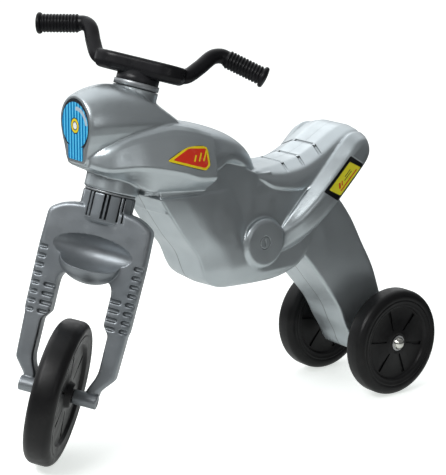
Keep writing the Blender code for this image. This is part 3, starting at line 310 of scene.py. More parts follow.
def badge_print(name, corners, rim, ground, field, bars):
    """Label on a side face: dark cut line, rim, field of another colour and plain bars."""
    g = Graph(bpy.data.materials.new(name))
    _, y, z = g.split()
    inner = inside_of(g, y, z, corners)
    base = g.mix(g.spread(inner, rim - 0.0001, rim + 0.0001), ground, field)
    for *shape, colour in bars:
        base = g.mix(bar_mask(g, y, z, *shape), base, colour)
    base = g.mix(g.spread(inner, 0.0004, 0.0006, 1.0, 0.0), base, (0.03, 0.03, 0.02))
    fade = g.spread(g.noise(120.0, 3.0), 0.55, 0.75)
    base = g.mix(g.times(fade, 0.06), base, (0.7, 0.7, 0.65))
    normal = g.bump(g.noise(300.0, 2.0), 0.00004, 0.4)
    return g.done(Base_Color=base, Roughness=0.3, Normal=normal, IOR=1.5)


GREY, GREY_PALE = (0.52, 0.575, 0.598), (0.6, 0.61, 0.62)
body_plastic = moulded_plastic("grey_body_plastic", GREY, GREY_PALE, 0.34, seam=True, pearl=0.8)
# The fork's wide reach spreads the painted shade into its dish and slots.
fork_plastic = moulded_plastic("grey_fork_plastic", (0.25, 0.275, 0.295), GREY_PALE, 0.42,
                               pearl=0.75, reach=0.035)
bush_plastic = moulded_plastic("grey_bush_plastic", (0.3, 0.32, 0.335), GREY_PALE, 0.4,
                               scuffs=0.3, pearl=0.7)
bar_plastic = moulded_plastic("black_bar_plastic", (0.006, 0.006, 0.007), (0.06, 0.06, 0.065), 0.3,
                              peel=0.00006, scuffs=0.35, gloss=0.2)
wheel_plastic = tread_plastic("black_wheel_plastic", (0.006, 0.006, 0.0065), (0.06, 0.06, 0.06),
                              0.38)
axle_steel = drawn_metal("drawn_axle_steel", (0.62, 0.62, 0.63), 0.28, (1.0, 8.0, 8.0))
cap_metal = drawn_metal("plated_cap_metal", (0.86, 0.86, 0.8), 0.13, (1.0, 1.0, 1.0))
RED, YELLOW, INK = (0.66, 0.03, 0.01), (0.8, 0.62, 0.01), (0.05, 0.045, 0.01)
TANK_BADGE = [(-0.127, 0.3815), (-0.095, 0.398), (-0.066, 0.395), (-0.064, 0.37), (-0.072, 0.364)]
tank_print = badge_print(
    "tank_print", TANK_BADGE, 0.0034, YELLOW, RED,
    [((-0.0865 + 0.0075 * k, 0.3815 + 0.0008 * k), 1.15, 0.0042 + 0.0014 * k, 0.0011, YELLOW)
     for k in range(3)])
RAIL_SLOPE = math.atan2(RAIL_RUN.y, RAIL_RUN.x)
tail_print = badge_print(
    "tail_print", panel_corners(*PLATE_SIZE), 0.001, (0.55, 0.5, 0.02), (0.76, 0.7, 0.015),
    [(rail_point(PANEL_S + s, PANEL_W + w), RAIL_SLOPE + lean, half_long, half_wide, colour)
     for s, w, lean, half_long, half_wide, colour in (
         (0.003, 0.0066, 0.0, 0.019, 0.0009, RED), (-0.0125, -0.0002, 0.9, 0.004, 0.0016, RED),
         (-0.0075, 0.0004, 0.9, 0.0034, 0.001, RED), (0.006, 0.001, 0.0, 0.0085, 0.0006, INK),
         (0.008, -0.0022, 0.0, 0.0065, 0.0006, INK))])

# Finishes of the CAD nodes that stay in sight.
for material, *kept in (
    (axle_steel, "steering_stem", "front_axle", "rear_axle", "rear_washer_left",
     "rear_washer_right"),
    (bush_plastic, "rear_spacer_left", "rear_spacer_right"),
    (lens_print(), "headlight_sticker"),
    (tank_print, "tank_sticker_left", "tank_sticker_right"),
    (tail_print, "tail_sticker_left", "tail_sticker_right"),
):
    for node in kept:
        materials = nodes[node].data.materials
        materials.clear()
        materials.append(material)


def build_floor():
    """Pale floor that reads white where it is lit and keeps the object's shadow."""
    g = Graph(bpy.data.materials.new("studio_floor"))
    x, y, _ = g.split()
    # Painted pool of light on the floor, seen only in gloss: full near the object, fading out and
    # darker beyond.
    painted_gloss_pool = g.spread(g.length(x, g.plus(y, 0.15)), *GLOSS_EDGE, 1.0, 0.0, "SMOOTHSTEP")
    glossy = g.shown("Is Glossy Ray", "Is Transmission Ray")
    level = g.math("MAXIMUM", g.times(glossy, g.times(painted_gloss_pool, GLOSS_GLOW)), g.shown("Is Camera Ray"))
    tone = g.spread(g.noise(3.0, 3.0), 0.3, 0.7, 0.79, 0.81)
    beyond = g.times(glossy, g.minus(1.0, painted_gloss_pool))
    for loss in (g.times(beyond, GLOSS_BEYOND), g.times(glossy, GLOSS_LOSS)):
        tone = g.times(tone, g.minus(1.0, loss))
    g.done(Base_Color=tone, Roughness=0.9, Specular_IOR_Level=0.1,
           Emission_Color=(0.96, 1.0, 0.97), Emission_Strength=g.times(level, FLOOR_GLOW))
    disc = Pile()
    disc.work.faces.new([disc.work.verts.new((FLOOR_REACH * c, FLOOR_REACH * s, FLOOR))
                         for c, s in circle(48)])
    mesh = disc.mesh("studio_floor")
    mesh.materials.append(g.owner)
    made = linked("studio_floor", mesh)


def build_world():
    """Light from high up, behind and to the left; dark elsewhere, and white to the camera."""
    g = Graph(bpy.data.worlds.new("studio"), "Generated")
    toward = g.vector("DOT_PRODUCT", g.place, WALL_SIDE)
    strength = g.spread(toward, *WALL_EDGE, WALL_DARK, WALL_LIT, "SMOOTHSTEP")
    lit = g.fill(g.tree.nodes["Background"], (0.97, 0.985, 1.0), strength)
    plain = g.fill(g.add("Background"), (1, 1, 1), 1.0)
    either = g.fill(g.add("MixShader"), g.shown("Is Camera Ray"), lit.outputs[0], plain.outputs[0])
    g.fill(g.tree.nodes["World Output"], either.outputs[0])
    scene.world = g.owner


def lamp(name, place, target, size, power):
    """Rectangular lamp aimed at a point."""
    data = bpy.data.lights.new(name, "AREA")
    data.shape = "RECTANGLE"
    data.size, data.size_y = size
    data.energy = power
    made = linked(name, data)
    made.location = place
    made.rotation_euler = (Vector(target) - Vector(place)).to_track_quat("-Z", "Y").to_euler()


def track(*pairs):
    """Smooth curve through (station, value) pairs, held beyond its ends."""
    keys, values = zip(*pairs)
    last = len(keys) - 1
    slopes = []
    for i in range(last + 1):
        a, b = max(i - 1, 0), min(i + 1, last)
        slopes.append((values[b] - values[a]) / (keys[b] - keys[a]))

    def value(x):
        x = min(max(x, keys[0]), keys[-1])
        i = max(k for k in range(last) if keys[k] <= x)
        h = keys[i + 1] - keys[i]
        t = (x - keys[i]) / h
        a = values[i] * (1 + 2 * t) * (1 - t) ** 2 + slopes[i] * h * t * (1 - t) ** 2
        return a + values[i + 1] * t * t * (3 - 2 * t) + slopes[i + 1] * h * t * t * (t - 1)

    return value


def tracks(stations, *columns):
    """One curve for each column of values at shared stations."""
    return [track(*zip(stations, values)) for values in columns]


def both_sides(corners):
    """Corners of the +X half, from the bottom up, continued on the other side."""
    return corners + [(-u, v, r) for u, v, r in reversed(corners)]


def inset(corners, amount):
    """Closed outline of (u, v, radius) with every edge moved inwards by the same amount."""
    points = [Vector(c[:2]) for c in corners]
    count = len(points)
    area = sum(points[i - 1].cross(points[i]) for i in range(count))
    out = []
    for i, p in enumerate(points):
        before = (p - points[i - 1]).normalized()
        after = (points[(i + 1) % count] - p).normalized()
        a = Vector((-before.y, before.x)) * math.copysign(1.0, area)
        b = Vector((-after.y, after.x)) * math.copysign(1.0, area)
        q = p + (a + b) * (amount / max(1.0 + a.dot(b), 0.35))
        out.append((q.x, q.y, corners[i][2]))
    return out


def rounded(corners, steps=5):
    """Closed outline with each corner drawn as a curve of its own radius."""
    ring = []
    count = len(corners)
    for i, (u, v, radius) in enumerate(corners):
        p = Vector((u, v))
        to_last = Vector(corners[i - 1][:2]) - p
        to_next = Vector(corners[(i + 1) % count][:2]) - p
        a = p + to_last.normalized() * min(radius, 0.45 * to_last.length)
        b = p + to_next.normalized() * min(radius, 0.45 * to_next.length)
        for k in range(steps + 1):
            t = k / steps
            ring.append(a * (1 - t) ** 2 + p * 2 * t * (1 - t) + b * t * t)
    return ring


def dense(levels, parts=4):
    """Levels with evenly spaced ones added between each pair."""
    out = []
    for a, b in zip(levels, levels[1:]):
        out += [a + (b - a) * k / parts for k in range(parts)]
    return out + [levels[-1]]


def upright(p, y):
    """Section point (x, z) at station y."""
    return Vector((p.x, y, p.y))


def level_at(p, z):
    """Section point (x, y) at height z."""
    return Vector((p.x, p.y, z))


def side_at(p, x):
    """Outline point (y, z) at width x."""
    return Vector((x, p.x, p.y))


def plate_at(p, ahead):
    """Outline point (x, z) of the steering frame at a distance ahead of its axis."""
    return Vector((p.x, -ahead, p.y))


class Pile:
    """Closed skins that overlap, gathered in one mesh and then melted into one surface."""

    def __init__(self):
        self.work = bmesh.new()

    def skin(self, rings, matrix=Matrix()):
        """Skin through rings of equal count, closed by a fan at each end."""
        grid = [[self.work.verts.new(matrix @ p) for p in ring] for ring in rings]
        faces = []
        for a, b in zip(grid, grid[1:]):
            for i in range(len(a)):
                j = (i + 1) % len(a)
                faces.append(self.work.faces.new((a[i], a[j], b[j], b[i])))
        for ring in (grid[0], grid[-1]):
            middle = self.work.verts.new(sum((v.co for v in ring), Vector()) / len(ring))
            for p, q in zip(ring, ring[1:] + ring[:1]):
                faces.append(self.work.faces.new((p, q, middle)))
        bmesh.ops.recalc_face_normals(self.work, faces=faces)
        return self

    def form(self, levels, ring, lift, parts=4):
        """Form whose section at each level is a mirrored ring of rounded corners."""
        return self.skin([[lift(p, level) for p in rounded(both_sides(ring(level)))]
                          for level in dense(levels, parts)])

    def turn(self, profile, matrix=Matrix(), segments=96):
        """Solid of revolution about Z through (radius, height) pairs; the ends sit on the axis."""
        rings = []
        for r, z in profile:
            r = max(r, AXIS_GAP)
            rings.append([Vector((r * c, r * s, z)) for c, s in circle(segments)])
        return self.skin(rings, matrix)

    def band(self, ring, matrix=Matrix(), segments=128):
        """Closed ring of (radius, height) corners swept right round the Z axis."""
        spokes = [[self.work.verts.new(matrix @ Vector((r * c, r * s, z))) for r, z in ring]
                  for c, s in circle(segments)]
        faces = []
        for a, b in zip(spokes, spokes[1:] + spokes[:1]):
            for i in range(len(ring)):
                faces.append(self.work.faces.new((a[i], b[i], b[i - 1], a[i - 1])))
        bmesh.ops.recalc_face_normals(self.work, faces=faces)
        return self

    def ball(self, radii, centre):
        """Ellipsoid of three radii."""
        half_round = [(s, c) for c, s in circle(96)[:49]]
        return self.turn(half_round, Matrix.Translation(centre) @ Matrix.Diagonal((*radii, 1.0)))

    def plate(self, corners, levels, lift, matrix=Matrix(), steps=6):
        """Plate whose outline is inset by its own amount at each (level, inset) pair."""
        return self.skin([[lift(p, level) for p in rounded(inset(corners, amount), steps)]
                          for level, amount in levels], matrix)

    def mesh(self, name):
        mesh = bpy.data.meshes.new(name)
        self.work.to_mesh(mesh)
        self.work.free()
        return mesh


def settled(mesh, name, **modifiers):
    """Mesh with modifiers, each given as TYPE=settings, applied in order."""
    made = linked(name, mesh)
    for kind, settings in modifiers.items():
        step = made.modifiers.new(kind, kind)
        for key, value in settings.items():
            setattr(step, key, value)
    bpy.context.view_layer.update()
    graph = bpy.context.evaluated_depsgraph_get()
    result = bpy.data.meshes.new_from_object(made.evaluated_get(graph))
    bpy.data.objects.remove(made)
    return result


def melted(pile, name, voxel, passes):
    """One smooth surface round everything in the pile."""
    return settled(pile.mesh(name), name, REMESH=dict(mode="VOXEL", voxel_size=voxel),
                   SMOOTH=dict(factor=0.5, iterations=passes))


def carved(mesh, name, *piles):
    """Mesh with the closed skins of each pile cut out of it in turn."""
    for pile in piles:
        tool = linked(name + "_cutter", pile.mesh(name + "_cutter"))
        mesh = settled(mesh, name, BOOLEAN=dict(object=tool, operation="DIFFERENCE",
                                                solver="MANIFOLD"))
        bpy.data.objects.remove(tool)
    return mesh


def piece(mesh, name, body, nodes_replaced, material, place=Matrix()):
    """Finished piece in the shared frame that stands for CAD nodes and rides on a body."""
    mesh.transform(place)
    mesh.transform(BASE)
    mesh.materials.clear()
    mesh.materials.append(material)
    mesh.shade_smooth()
    made = linked(name, mesh)
    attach(made, body)
    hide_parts(*nodes_replaced)
    return made


def outward(side):
    """Turn that points Z out to one side."""
    return Matrix.Rotation(side * math.pi / 2, 4, "Y")


def pointing(start, run):
    """Place whose Z runs from a point in a direction."""
    return Matrix.Translation(start) @ run.to_track_quat("Z", "X").to_matrix().to_4x4()


seat_top = track((-0.02, 0.345), (0.06, 0.345), (0.093, 0.3455), (0.127, 0.351),
                 (0.156, 0.363), (0.186, 0.379), (0.206, 0.3855), (0.222, 0.381), (0.234, 0.366))
seat_flat = track((-0.02, 0.043), (0.03, 0.043), (0.06, 0.033), (0.094, 0.024),
                  (0.125, 0.022), (0.234, 0.022))
seat_fall = track((-0.02, 0.57), (0.06, 0.5), (0.1, 0.42), (0.14, 0.37), (0.18, 0.27),
                  (0.218, 0.23))


def tank_form(pile):
    """Front of the tank: a thin lip round a rounded top, over a hollow underside."""
    rim_x, rim_z = tracks(
        (-0.212, -0.195, -0.158, -0.13, -0.102, -0.08, -0.053),
        (0.027, 0.045, 0.061, 0.069, 0.0755, 0.078, 0.0775),
        (0.382, 0.376, 0.3765, 0.372, 0.365, 0.357, 0.354))
    shoulder_x, shoulder_z = tracks(
        (-0.212, -0.193, -0.163, -0.13, -0.108, -0.08, -0.053),
        (0.024, 0.041, 0.0505, 0.056, 0.06, 0.066, 0.069),
        (0.394, 0.403, 0.416, 0.423, 0.425, 0.42, 0.411))
    under_z = track((-0.212, 0.374), (-0.19, 0.364), (-0.16, 0.352), (-0.12, 0.334),
                    (-0.053, 0.326))
    under_x = track((-0.212, 0.016), (-0.16, 0.034), (-0.053, 0.04))

    def ring(y):
        rx, rz = rim_x(y), rim_z(y)
        sx, sz = shoulder_x(y), shoulder_z(y)
        ux, uz = under_x(y), min(under_z(y), rz - 0.008)
        return [(ux * 0.5, uz, 0.004), (ux, uz, 0.008), (rx - 0.004, rz - 0.006, 0.0015),
                (rx, rz, 0.002), (sx, sz, 0.022), (sx * 0.3, sz + 0.001, 0.01)]
    pile.form(dense([-0.212, -0.053], 8), ring, upright)


def cowl_form(pile):
    """Headlamp cowl, cut off behind by a plane that leans back to the tank."""
    half_x = track((-0.216, 0.0335), (-0.212, 0.0362), (-0.195, 0.0415), (-0.165, 0.0465),
                   (-0.12, 0.0495), (-0.078, 0.048))
    top_z = track((-0.216, 0.463), (-0.212, 0.4655), (-0.195, 0.471), (-0.172, 0.4735),
                  (-0.155, 0.4715), (-0.13, 0.469), (-0.078, 0.465))
    mid_z = track((-0.216, 0.428), (-0.16, 0.427), (-0.078, 0.42))
    low_z = track((-0.216, 0.379), (-0.19, 0.37), (-0.078, 0.37))
    slope_y, slope_z, fall = -0.154, 0.4725, 0.049 / 0.062
    rings = []
    for y in dense([-0.216, -0.2145, -0.211, -0.202, -0.19, -0.172, -0.15, -0.115, -0.078], 5):
        half, top, mid, low = half_x(y), top_z(y), mid_z(y), low_z(y)
        foot = min(half * 0.66, 0.026)
        side = [(foot * 0.8, low, 0.002), (foot, low + 0.006, 0.002),
                (half * 0.72, mid - 0.032, 0.006), (half * 0.93, mid - 0.016, 0.006)]
        side += [(half * c, mid + (top - mid) * s, 0.001) for c, s in circle(96)[:24]]
        cut = slope_z - (y - slope_y) * fall
        ring = rounded(both_sides(side + [(0.0015, top, 0.001)]), 1)
        rings.append([upright(Vector((p.x, min(p.y, max(cut, low + 0.01)))), y) for p in ring])
    pile.skin(rings)


def mound_form(pile):
    """Raised base of the steering neck."""
    half_x, front, back = tracks(
        (0.412, 0.418, 0.43, 0.438, 0.4445), (0.044, 0.043, 0.0385, 0.034, 0.03),
        (-0.185, -0.18, -0.172, -0.166, -0.16), (-0.06, -0.065, -0.081, -0.092, -0.1))
    rings = []
    for z in dense([0.412, 0.4445], 12):
        middle, reach = (front(z) + back(z)) / 2, (back(z) - front(z)) / 2
        rings.append([Vector((half_x(z) * c, middle + reach * s, z)) for c, s in circle(64)])
    pile.skin(rings)


def hump_form(pile):
    """Rear of the tank, arched over the narrower side walls."""
    half_x = track((-0.13, 0.042), (-0.1, 0.056), (-0.07, 0.0645), (-0.045, 0.064),
                   (-0.02, 0.06), (0.0, 0.0545), (0.015, 0.049), (0.028, 0.043),
                   (0.04, 0.034), (0.048, 0.024), (0.052, 0.013))
    top_z = track((-0.13, 0.417), (-0.1, 0.418), (-0.07, 0.415), (-0.045, 0.4125),
                  (-0.023, 0.4065), (0.002, 0.3965), (0.015, 0.389), (0.028, 0.379),
                  (0.038, 0.368), (0.046, 0.356), (0.052, 0.345))
    arch_z = track((-0.13, 0.39), (-0.07, 0.35), (-0.036, 0.358), (-0.018, 0.365),
                   (0.004, 0.359), (0.018, 0.351), (0.036, 0.343), (0.052, 0.337))
    floor = 0.33

    def ring(y):
        half, top, arch = half_x(y), top_z(y), arch_z(y)
        inner = min(half * 0.6, SIDE_WALL - 0.004)
        return [(inner * 0.5, floor, 0.002), (inner, floor, 0.002), (inner, arch - 0.003, 0.002),
                (half * 0.96, arch, 0.005), (half, (arch + top) / 2 - 0.004, 0.012),
                (half * 0.82, top - 0.007, 0.02), (half * 0.3, top, 0.012)]
    pile.form([-0.13, -0.1, -0.07, -0.045, -0.023, -0.003, 0.012, 0.024, 0.036, 0.044, 0.0495,
               0.052], ring, upright, 6)


def engine_form(pile):
    """Front cover, its bevel to the side walls, and the rounded belly."""
    prow_y = track((0.1865, 0.012), (0.19, -0.012), (0.197, -0.032), (0.207, -0.046),
                   (0.217, -0.052), (0.244, -0.064), (0.27, -0.085), (0.318, -0.117),
                   (0.345, -0.132))
    stern_y = track((0.1865, 0.07), (0.19, 0.088), (0.197, 0.106), (0.212, 0.13),
                    (0.24, 0.15), (0.3, 0.165), (0.345, 0.17))
    belly_x = track((0.1865, 0.024), (0.19, 0.034), (0.197, 0.042), (0.207, 0.047),
                    (0.225, 0.0515), (0.3, 0.053), (0.345, 0.05))
    flank_end = track((0.1865, 0.0558), (0.195, 0.051), (0.2054, 0.0401), (0.2562, 0.0036),
                      (0.3081, -0.0219), (0.36, -0.04))
    bevel_end = track((0.1865, 0.0572), (0.195, 0.058), (0.2116, 0.05), (0.2388, 0.029),
                      (0.2645, 0.0205), (0.3028, 0.0078), (0.3246, -0.005), (0.36, -0.026))
    rear_y = track((0.305, 0.035), (0.343, 0.035), (0.35, 0.02), (0.37, -0.012))

    def low_ring(z):
        front, back, half = prow_y(z), stern_y(z), belly_x(z)
        side = min(half, SIDE_WALL)
        return [(0.002, front, 0.001), (0.83 * half, front + 0.005, 0.002),
                (half, front + 0.043, 0.01), (half, max(flank_end(z), front + 0.048), 0.006),
                (side, max(bevel_end(z), front + 0.05), 0.003), (side, back - 0.012, 0.008),
                (side * 0.6, back, 0.008)]

    def high_ring(z):
        front, bevel = -0.119 - 0.4 * (z - 0.327), bevel_end(z)
        rear = max(rear_y(z), bevel + 0.002)
        return [(0.002, front, 0.001), (0.04, front + 0.004, 0.002),
                (0.049, front + 0.04, 0.01), (0.0505, flank_end(z), 0.006),
                (SIDE_WALL, bevel, 0.003), (SIDE_WALL, rear, 0.002), (0.022, rear, 0.004)]
    pile.form([0.1865, 0.19, 0.197, 0.207, 0.222, 0.246, 0.276, 0.31, 0.327], low_ring,
              level_at, 6)
    pile.form([0.305, 0.324, 0.343, 0.37], high_ring, level_at)
    pile.form([0.3, 0.341], lambda z: [(0.046, -0.02, 0.002), (0.046, 0.062, 0.002)], level_at)


def seat_form(pile):
    """Saddle: a flat down the middle, sloping flanks and an edge that stands off the wall."""
    low_z = track((-0.02, 0.334), (0.025, 0.337), (0.041, 0.331), (0.067, 0.3175),
                  (0.114, 0.3104), (0.15, 0.316), (0.2, 0.335), (0.234, 0.35))
    side_x = track((-0.02, 0.0445), (0.03, 0.0455), (0.055, SEAT_SIDE), (0.218, SEAT_SIDE))

    def ring(y):
        top, low, flat, side = seat_top(y), low_z(y), seat_flat(y), side_x(y)
        brow = max(side - 0.004, flat + 0.002)
        brow_z = top - seat_fall(y) * (brow - flat)
        edge_z = min(brow_z - 0.004, top - min(0.019, 0.55 * (top - low)))
        return [(side * 0.5, low, 0.002), (side - 0.002, low, 0.002), (side, low + 0.004, 0.002),
                (side - 0.0005, max(edge_z, low + 0.005), 0.007), (brow, brow_z, 0.008),
                (flat, top, 0.003)]
    pile.form([-0.02, 0.03, 0.06, 0.08, 0.1, 0.122, 0.145, 0.17, 0.19, 0.205, 0.218],
              ring, upright)


def rail_form(pile):
    """Diagonal rails from the engine up to the tail."""
    half_x = track((-0.064, 0.05), (-0.045, 0.054), (-0.015, 0.064), (0.02, 0.0695),
                   (0.045, 0.0705), (0.105, 0.0705), (0.122, 0.069), (0.131, 0.064),
                   (0.138, 0.054))
    up_w = track((-0.064, 0.029), (-0.045, 0.023), (-0.02, 0.0205), (0.02, 0.0195),
                 (0.105, 0.018), (0.122, 0.02), (0.131, 0.0255), (0.138, 0.034))
    low_w = track((-0.064, 0.056), (-0.04, 0.064), (0.0, 0.068), (0.105, 0.068),
                  (0.122, 0.065), (0.131, 0.059), (0.138, 0.051))

    def lift(p, s):
        q = rail_point(s, p.y)
        return Vector((p.x, q.x, q.y))

    def ring(s):
        x, up, low = half_x(s), up_w(s), low_w(s)
        return [(x * 0.5, low, 0.006), (x - 0.012, low, 0.012), (x, low - 0.012, 0.008),
                (x, up + 0.0115, 0.006), (min(0.05, x - 0.004), up, 0.003),
                (0.036, up + 0.01, 0.003)]
    pile.form([-0.064, -0.045, -0.022, 0.0, 0.024, 0.05, 0.1, 0.115, 0.124, 0.131, 0.138],
              ring, lift)


def leg_form(pile):
    """Rear legs, down to the axle."""
    front_y = track((0.052, 0.244), (0.058, 0.233), (0.068, 0.226), (0.08, 0.221),
                    (0.1, 0.209), (0.129, 0.194), (0.165, 0.165), (0.2, 0.136),
                    (0.23, 0.11), (0.262, 0.105), (0.29, 0.115))
    back_y = track((0.052, 0.282), (0.058, 0.292), (0.068, 0.297), (0.08, 0.2975),
                   (0.1, 0.291), (0.12, 0.282), (0.147, 0.27), (0.184, 0.253),
                   (0.219, 0.232), (0.254, 0.212), (0.276, 0.196), (0.29, 0.184))
    half_x = track((0.052, 0.032), (0.08, 0.0345), (0.129, 0.039), (0.165, 0.043),
                   (0.2, 0.045), (0.29, 0.047))

    def ring(z):
        front, back, half = front_y(z), back_y(z), half_x(z)
        return [(half * 0.5, front, 0.004), (half, front, 0.0045), (half, back, 0.01),
                (half * 0.5, back, 0.006)]
    pile.form([0.052, 0.057, 0.067, 0.084, 0.108, 0.136, 0.165, 0.2, 0.245, 0.29], ring, level_at)


def head_form(pile):
    """Tube of the steering head, flanged at both ends."""
    pile.turn([(0, HEAD_LOW), (LOWER_R - 0.001, HEAD_LOW), (LOWER_R, HEAD_LOW + 0.001),
               (LOWER_R, -0.134), (0.0285, -0.128), (0.0285, -0.06), (UPPER_R, -0.052),
               (UPPER_R, HEAD_TOP - 0.001), (UPPER_R - 0.001, HEAD_TOP), (0, HEAD_TOP)], HEAD)


def boss_form(pile):
    """Round boss low on each side wall."""
    for side in (1, -1):
        pile.turn([(0, 0.03), (BOSS_WIDE, 0.03), (BOSS_WIDE, BOSS_FACE - 0.004),
                   (BOSS_WIDE - 0.004, BOSS_FACE), (0, BOSS_FACE)],
                  Matrix.Translation((0, BOSS_Y, BOSS_Z)) @ outward(side))


def bar_between(pile, start, end, radius):
    """Round bar with domed ends, for cutting grooves."""
    start, end = Vector(start), Vector(end)
    run = end - start
    dome = [(radius * s, radius * c) for c, s in circle(24)[:7]]
    pile.turn([(r, -z) for r, z in dome] + [(r, run.length + z) for r, z in reversed(dome)],
              pointing(start, run), 20)


def groove_cuts():
    """Three grooves over the saddle's flat and down its flanks."""
    pile = Pile()
    for y in GROOVES:
        flat, z = seat_flat(y) - 0.0005, seat_top(y) + 0.0006
        bar_between(pile, (-flat, y, z), (flat, y, z), GROOVE_R)
        out, back = flat + 0.019, y - 0.0055
        end = seat_top(back) + 0.0004 - seat_fall(back) * (out - seat_flat(back))
        for side in (-1, 1):
            bar_between(pile, (side * (flat - 0.001), y, z), (side * out, back, end), GROOVE_R)
    return pile


def recess_cuts():
    """Shallow panels in the rails for the tail labels."""
    pile = Pile()
    floor = RAIL_FACE - PANEL_DEPTH
    for side in (1, -1):
        pile.plate([(*q, 0.003) for q in panel_corners(*PANEL_SIZE)],
                   [(floor, 0.0), (floor + 0.0006, -0.0005), (0.09, -0.0005)],
                   lambda p, x: side_at(p, side * x), steps=5)
    return pile


def screw_cuts():
    """Ring and slot of the moulded screw heads in the bosses."""
    pile = Pile()
    floor, clear = BOSS_FACE - 0.0012, BOSS_FACE + 0.004
    slot = [(u * 0.0042, v * 0.001, 0.0003) for u, v in ((1, 1), (-1, 1), (-1, -1), (1, -1))]
    for side in (1, -1):
        place = Matrix.Translation((0, BOSS_Y - 0.0015, BOSS_Z + 0.0012)) @ outward(side)
        pile.band([(0.0078, floor), (0.009, floor), (0.009, clear), (0.0078, clear)], place, 64)
        pile.skin([[level_at(p, z) for p in rounded(slot, 2)] for z in (floor, clear)], place)
    return pile


def collar_cut():
    """Room for the upper bush above the head tube."""
    return Pile().turn([(0, HEAD_TOP), (UPPER_R + 0.0006, HEAD_TOP), (UPPER_R + 0.0006, 0.0),
                        (0, 0.0)], HEAD)


def body_piece():
    """Shell: all its forms melted together, then cut."""
    pile = Pile()
    for form in (tank_form, cowl_form, mound_form, hump_form, engine_form, seat_form, rail_form,
                 leg_form, head_form, boss_form):
        form(pile)
    mesh = carved(melted(pile, "body", voxel=0.0013, passes=3), "body",
                  groove_cuts(), recess_cuts(), screw_cuts(), collar_cut())
    piece(mesh, "body", "chassis", ["body_shell"], body_plastic)


def fork_cuts(front, back):
    """Gaiter slots in the legs' front and the open pockets behind them."""
    slots, pockets = Pile(), Pile()
    for side in (-1, 1):
        for k in range(8):
            z = SLOT_TOP - k * SLOT_PITCH
            spans = [(0.056, 0.08)] + ([(0.025, 0.0505)] if k >= 4 else [])
            for inner, outer in spans:
                corners = [(side * x, z + v * SLOT_HALF, SLOT_ROUND) for x, v in
                           ((inner, -1), (outer, -1), (outer, 1), (inner, 1))]
                slots.plate(corners, [(front - 0.0038, 0.0008), (front - 0.003, 0.0002),
                                      (front - 0.0004, 0.0), (front + 0.0006, -0.001),
                                      (front + 0.02, -0.001)], plate_at, steps=3)
        outline = [(0.0385, -0.285), (0.0385, -0.326), (0.0465, -0.338), (0.0465, -0.392),
                   (0.0615, -0.392), (0.0615, -0.337), (0.065, -0.33), (0.065, -0.226),
                   (0.052, -0.226)]
        pockets.plate([(side * x, z, 0.002) for x, z in outline],
                      [(back - 0.02, 0.0), (front - 0.0065, 0.0)], plate_at, steps=3)
    return slots, pockets


def flute_cuts():
    """Pairs of narrow flutes down the fork's socket."""
    pile = Pile()
    for k in range(10):
        for aside in (-0.0027, 0.0027):
            corners = [(aside + u * 0.0015, v - SOCKET_R, 0.0004)
                       for u, v in ((-1, 0.0042), (1, 0.0042), (1, -0.01), (-1, -0.01))]
            pile.plate(corners, [(-0.1985, 0.0), (-0.166, 0.0)], level_at,
                       Matrix.Rotation(2 * math.pi * (k + 0.2) / 10, 4, "Z"), steps=2)
    return pile


FORK_HALF = [(0.03, -0.185, 0.004), (0.05, -0.1885, 0.01), (0.0675, -0.2, 0.007),
             (0.069, -0.248, 0.01), (0.068, -0.33, 0.0015), (0.0665, -0.335, 0.0015),
             (0.0645, -0.393, 0.004), (0.049, -0.412, 0.003), (0.048, -0.422, 0.002),
             (0.03, -0.422, 0.002), (0.035, -0.408, 0.004), (0.043, -0.39, 0.01),
             (0.043, -0.339, 0.002), (0.035, -0.328, 0.002), (0.035, -0.282, 0.008),
             (0.025, -0.27, 0.01)]


def fork_piece():
    """Fork: slotted plate, then crown, socket and axle bosses melted on and bored."""
    back, front = -0.002, 0.026
    plate = Pile().plate(
        both_sides(FORK_HALF),
        [(back, 0.001), (back + 0.001, 0.0), (front - 0.0045, 0.0), (front - 0.0028, 0.0006),
         (front - 0.0016, 0.0016), (front - 0.0005, 0.003), (front, 0.0045)], plate_at)
    mesh = carved(melted(plate, "fork", voxel=0.0011, passes=3), "fork", *fork_cuts(front, back))
    crown = Pile()
    crown.work.from_mesh(mesh)
    crown.turn([(0, -0.1671), (SOCKET_R - 0.001, -0.1671), (SOCKET_R, -0.1681), (SOCKET_R, -0.195),
                (0.033, -0.201), (0.03, -0.2045), (0.024, -0.206), (0, -0.2065)])
    crown.ball((0.0405, 0.033, 0.029), (0, -0.018, -0.254))
    for side in (1, -1):
        crown.turn([(0, 0.0196), (0.0095, 0.0196), (0.0095, 0.0503), (0.0088, 0.051),
                    (0, 0.051)], FRONT_HUB @ outward(side))
    dish = Pile().ball((0.064, 0.032, 0.024), (0, -0.045, -0.24))
    holes = Pile().turn([(0, -0.229), (STEM_ROOM, -0.229), (STEM_ROOM, -0.15), (0, -0.15)])
    holes.turn([(0, -0.08), (0.0053, -0.08), (0.0053, 0.08), (0, 0.08)], FRONT_HUB @ outward(1))
    mesh = carved(melted(crown, "fork", voxel=0.0009, passes=3), "fork", dish, flute_cuts(), holes)
    piece(mesh, "fork_moulding", "steering", ["fork"], fork_plastic, STEERED)


def bar_path(side):
    """Centre line of one arm, from inside the pad out to the grip."""
    back, rise = tracks(
        (0.04, 0.058, 0.07, 0.08, 0.09, 0.1),
        (0.0, 0.006, 0.018, 0.03, 0.038, 0.04),
        (-0.004, -0.001, 0.014, 0.03, 0.035, 0.0335))
    return [Vector((side * x, back(x), rise(x))) for x in dense([0.04, 0.1], 40)]


def tube(pile, path, radius):
    """Round bar along a path, square to it at every point."""
    rings = []
    for i, p in enumerate(path):
        run = path[min(i + 1, len(path) - 1)] - path[max(i - 1, 0)]
        turn = run.to_track_quat("Z", "Y").to_matrix()
        rings.append([p + turn @ Vector((radius * c, radius * s, 0)) for c, s in circle(40)])
    pile.skin(rings)


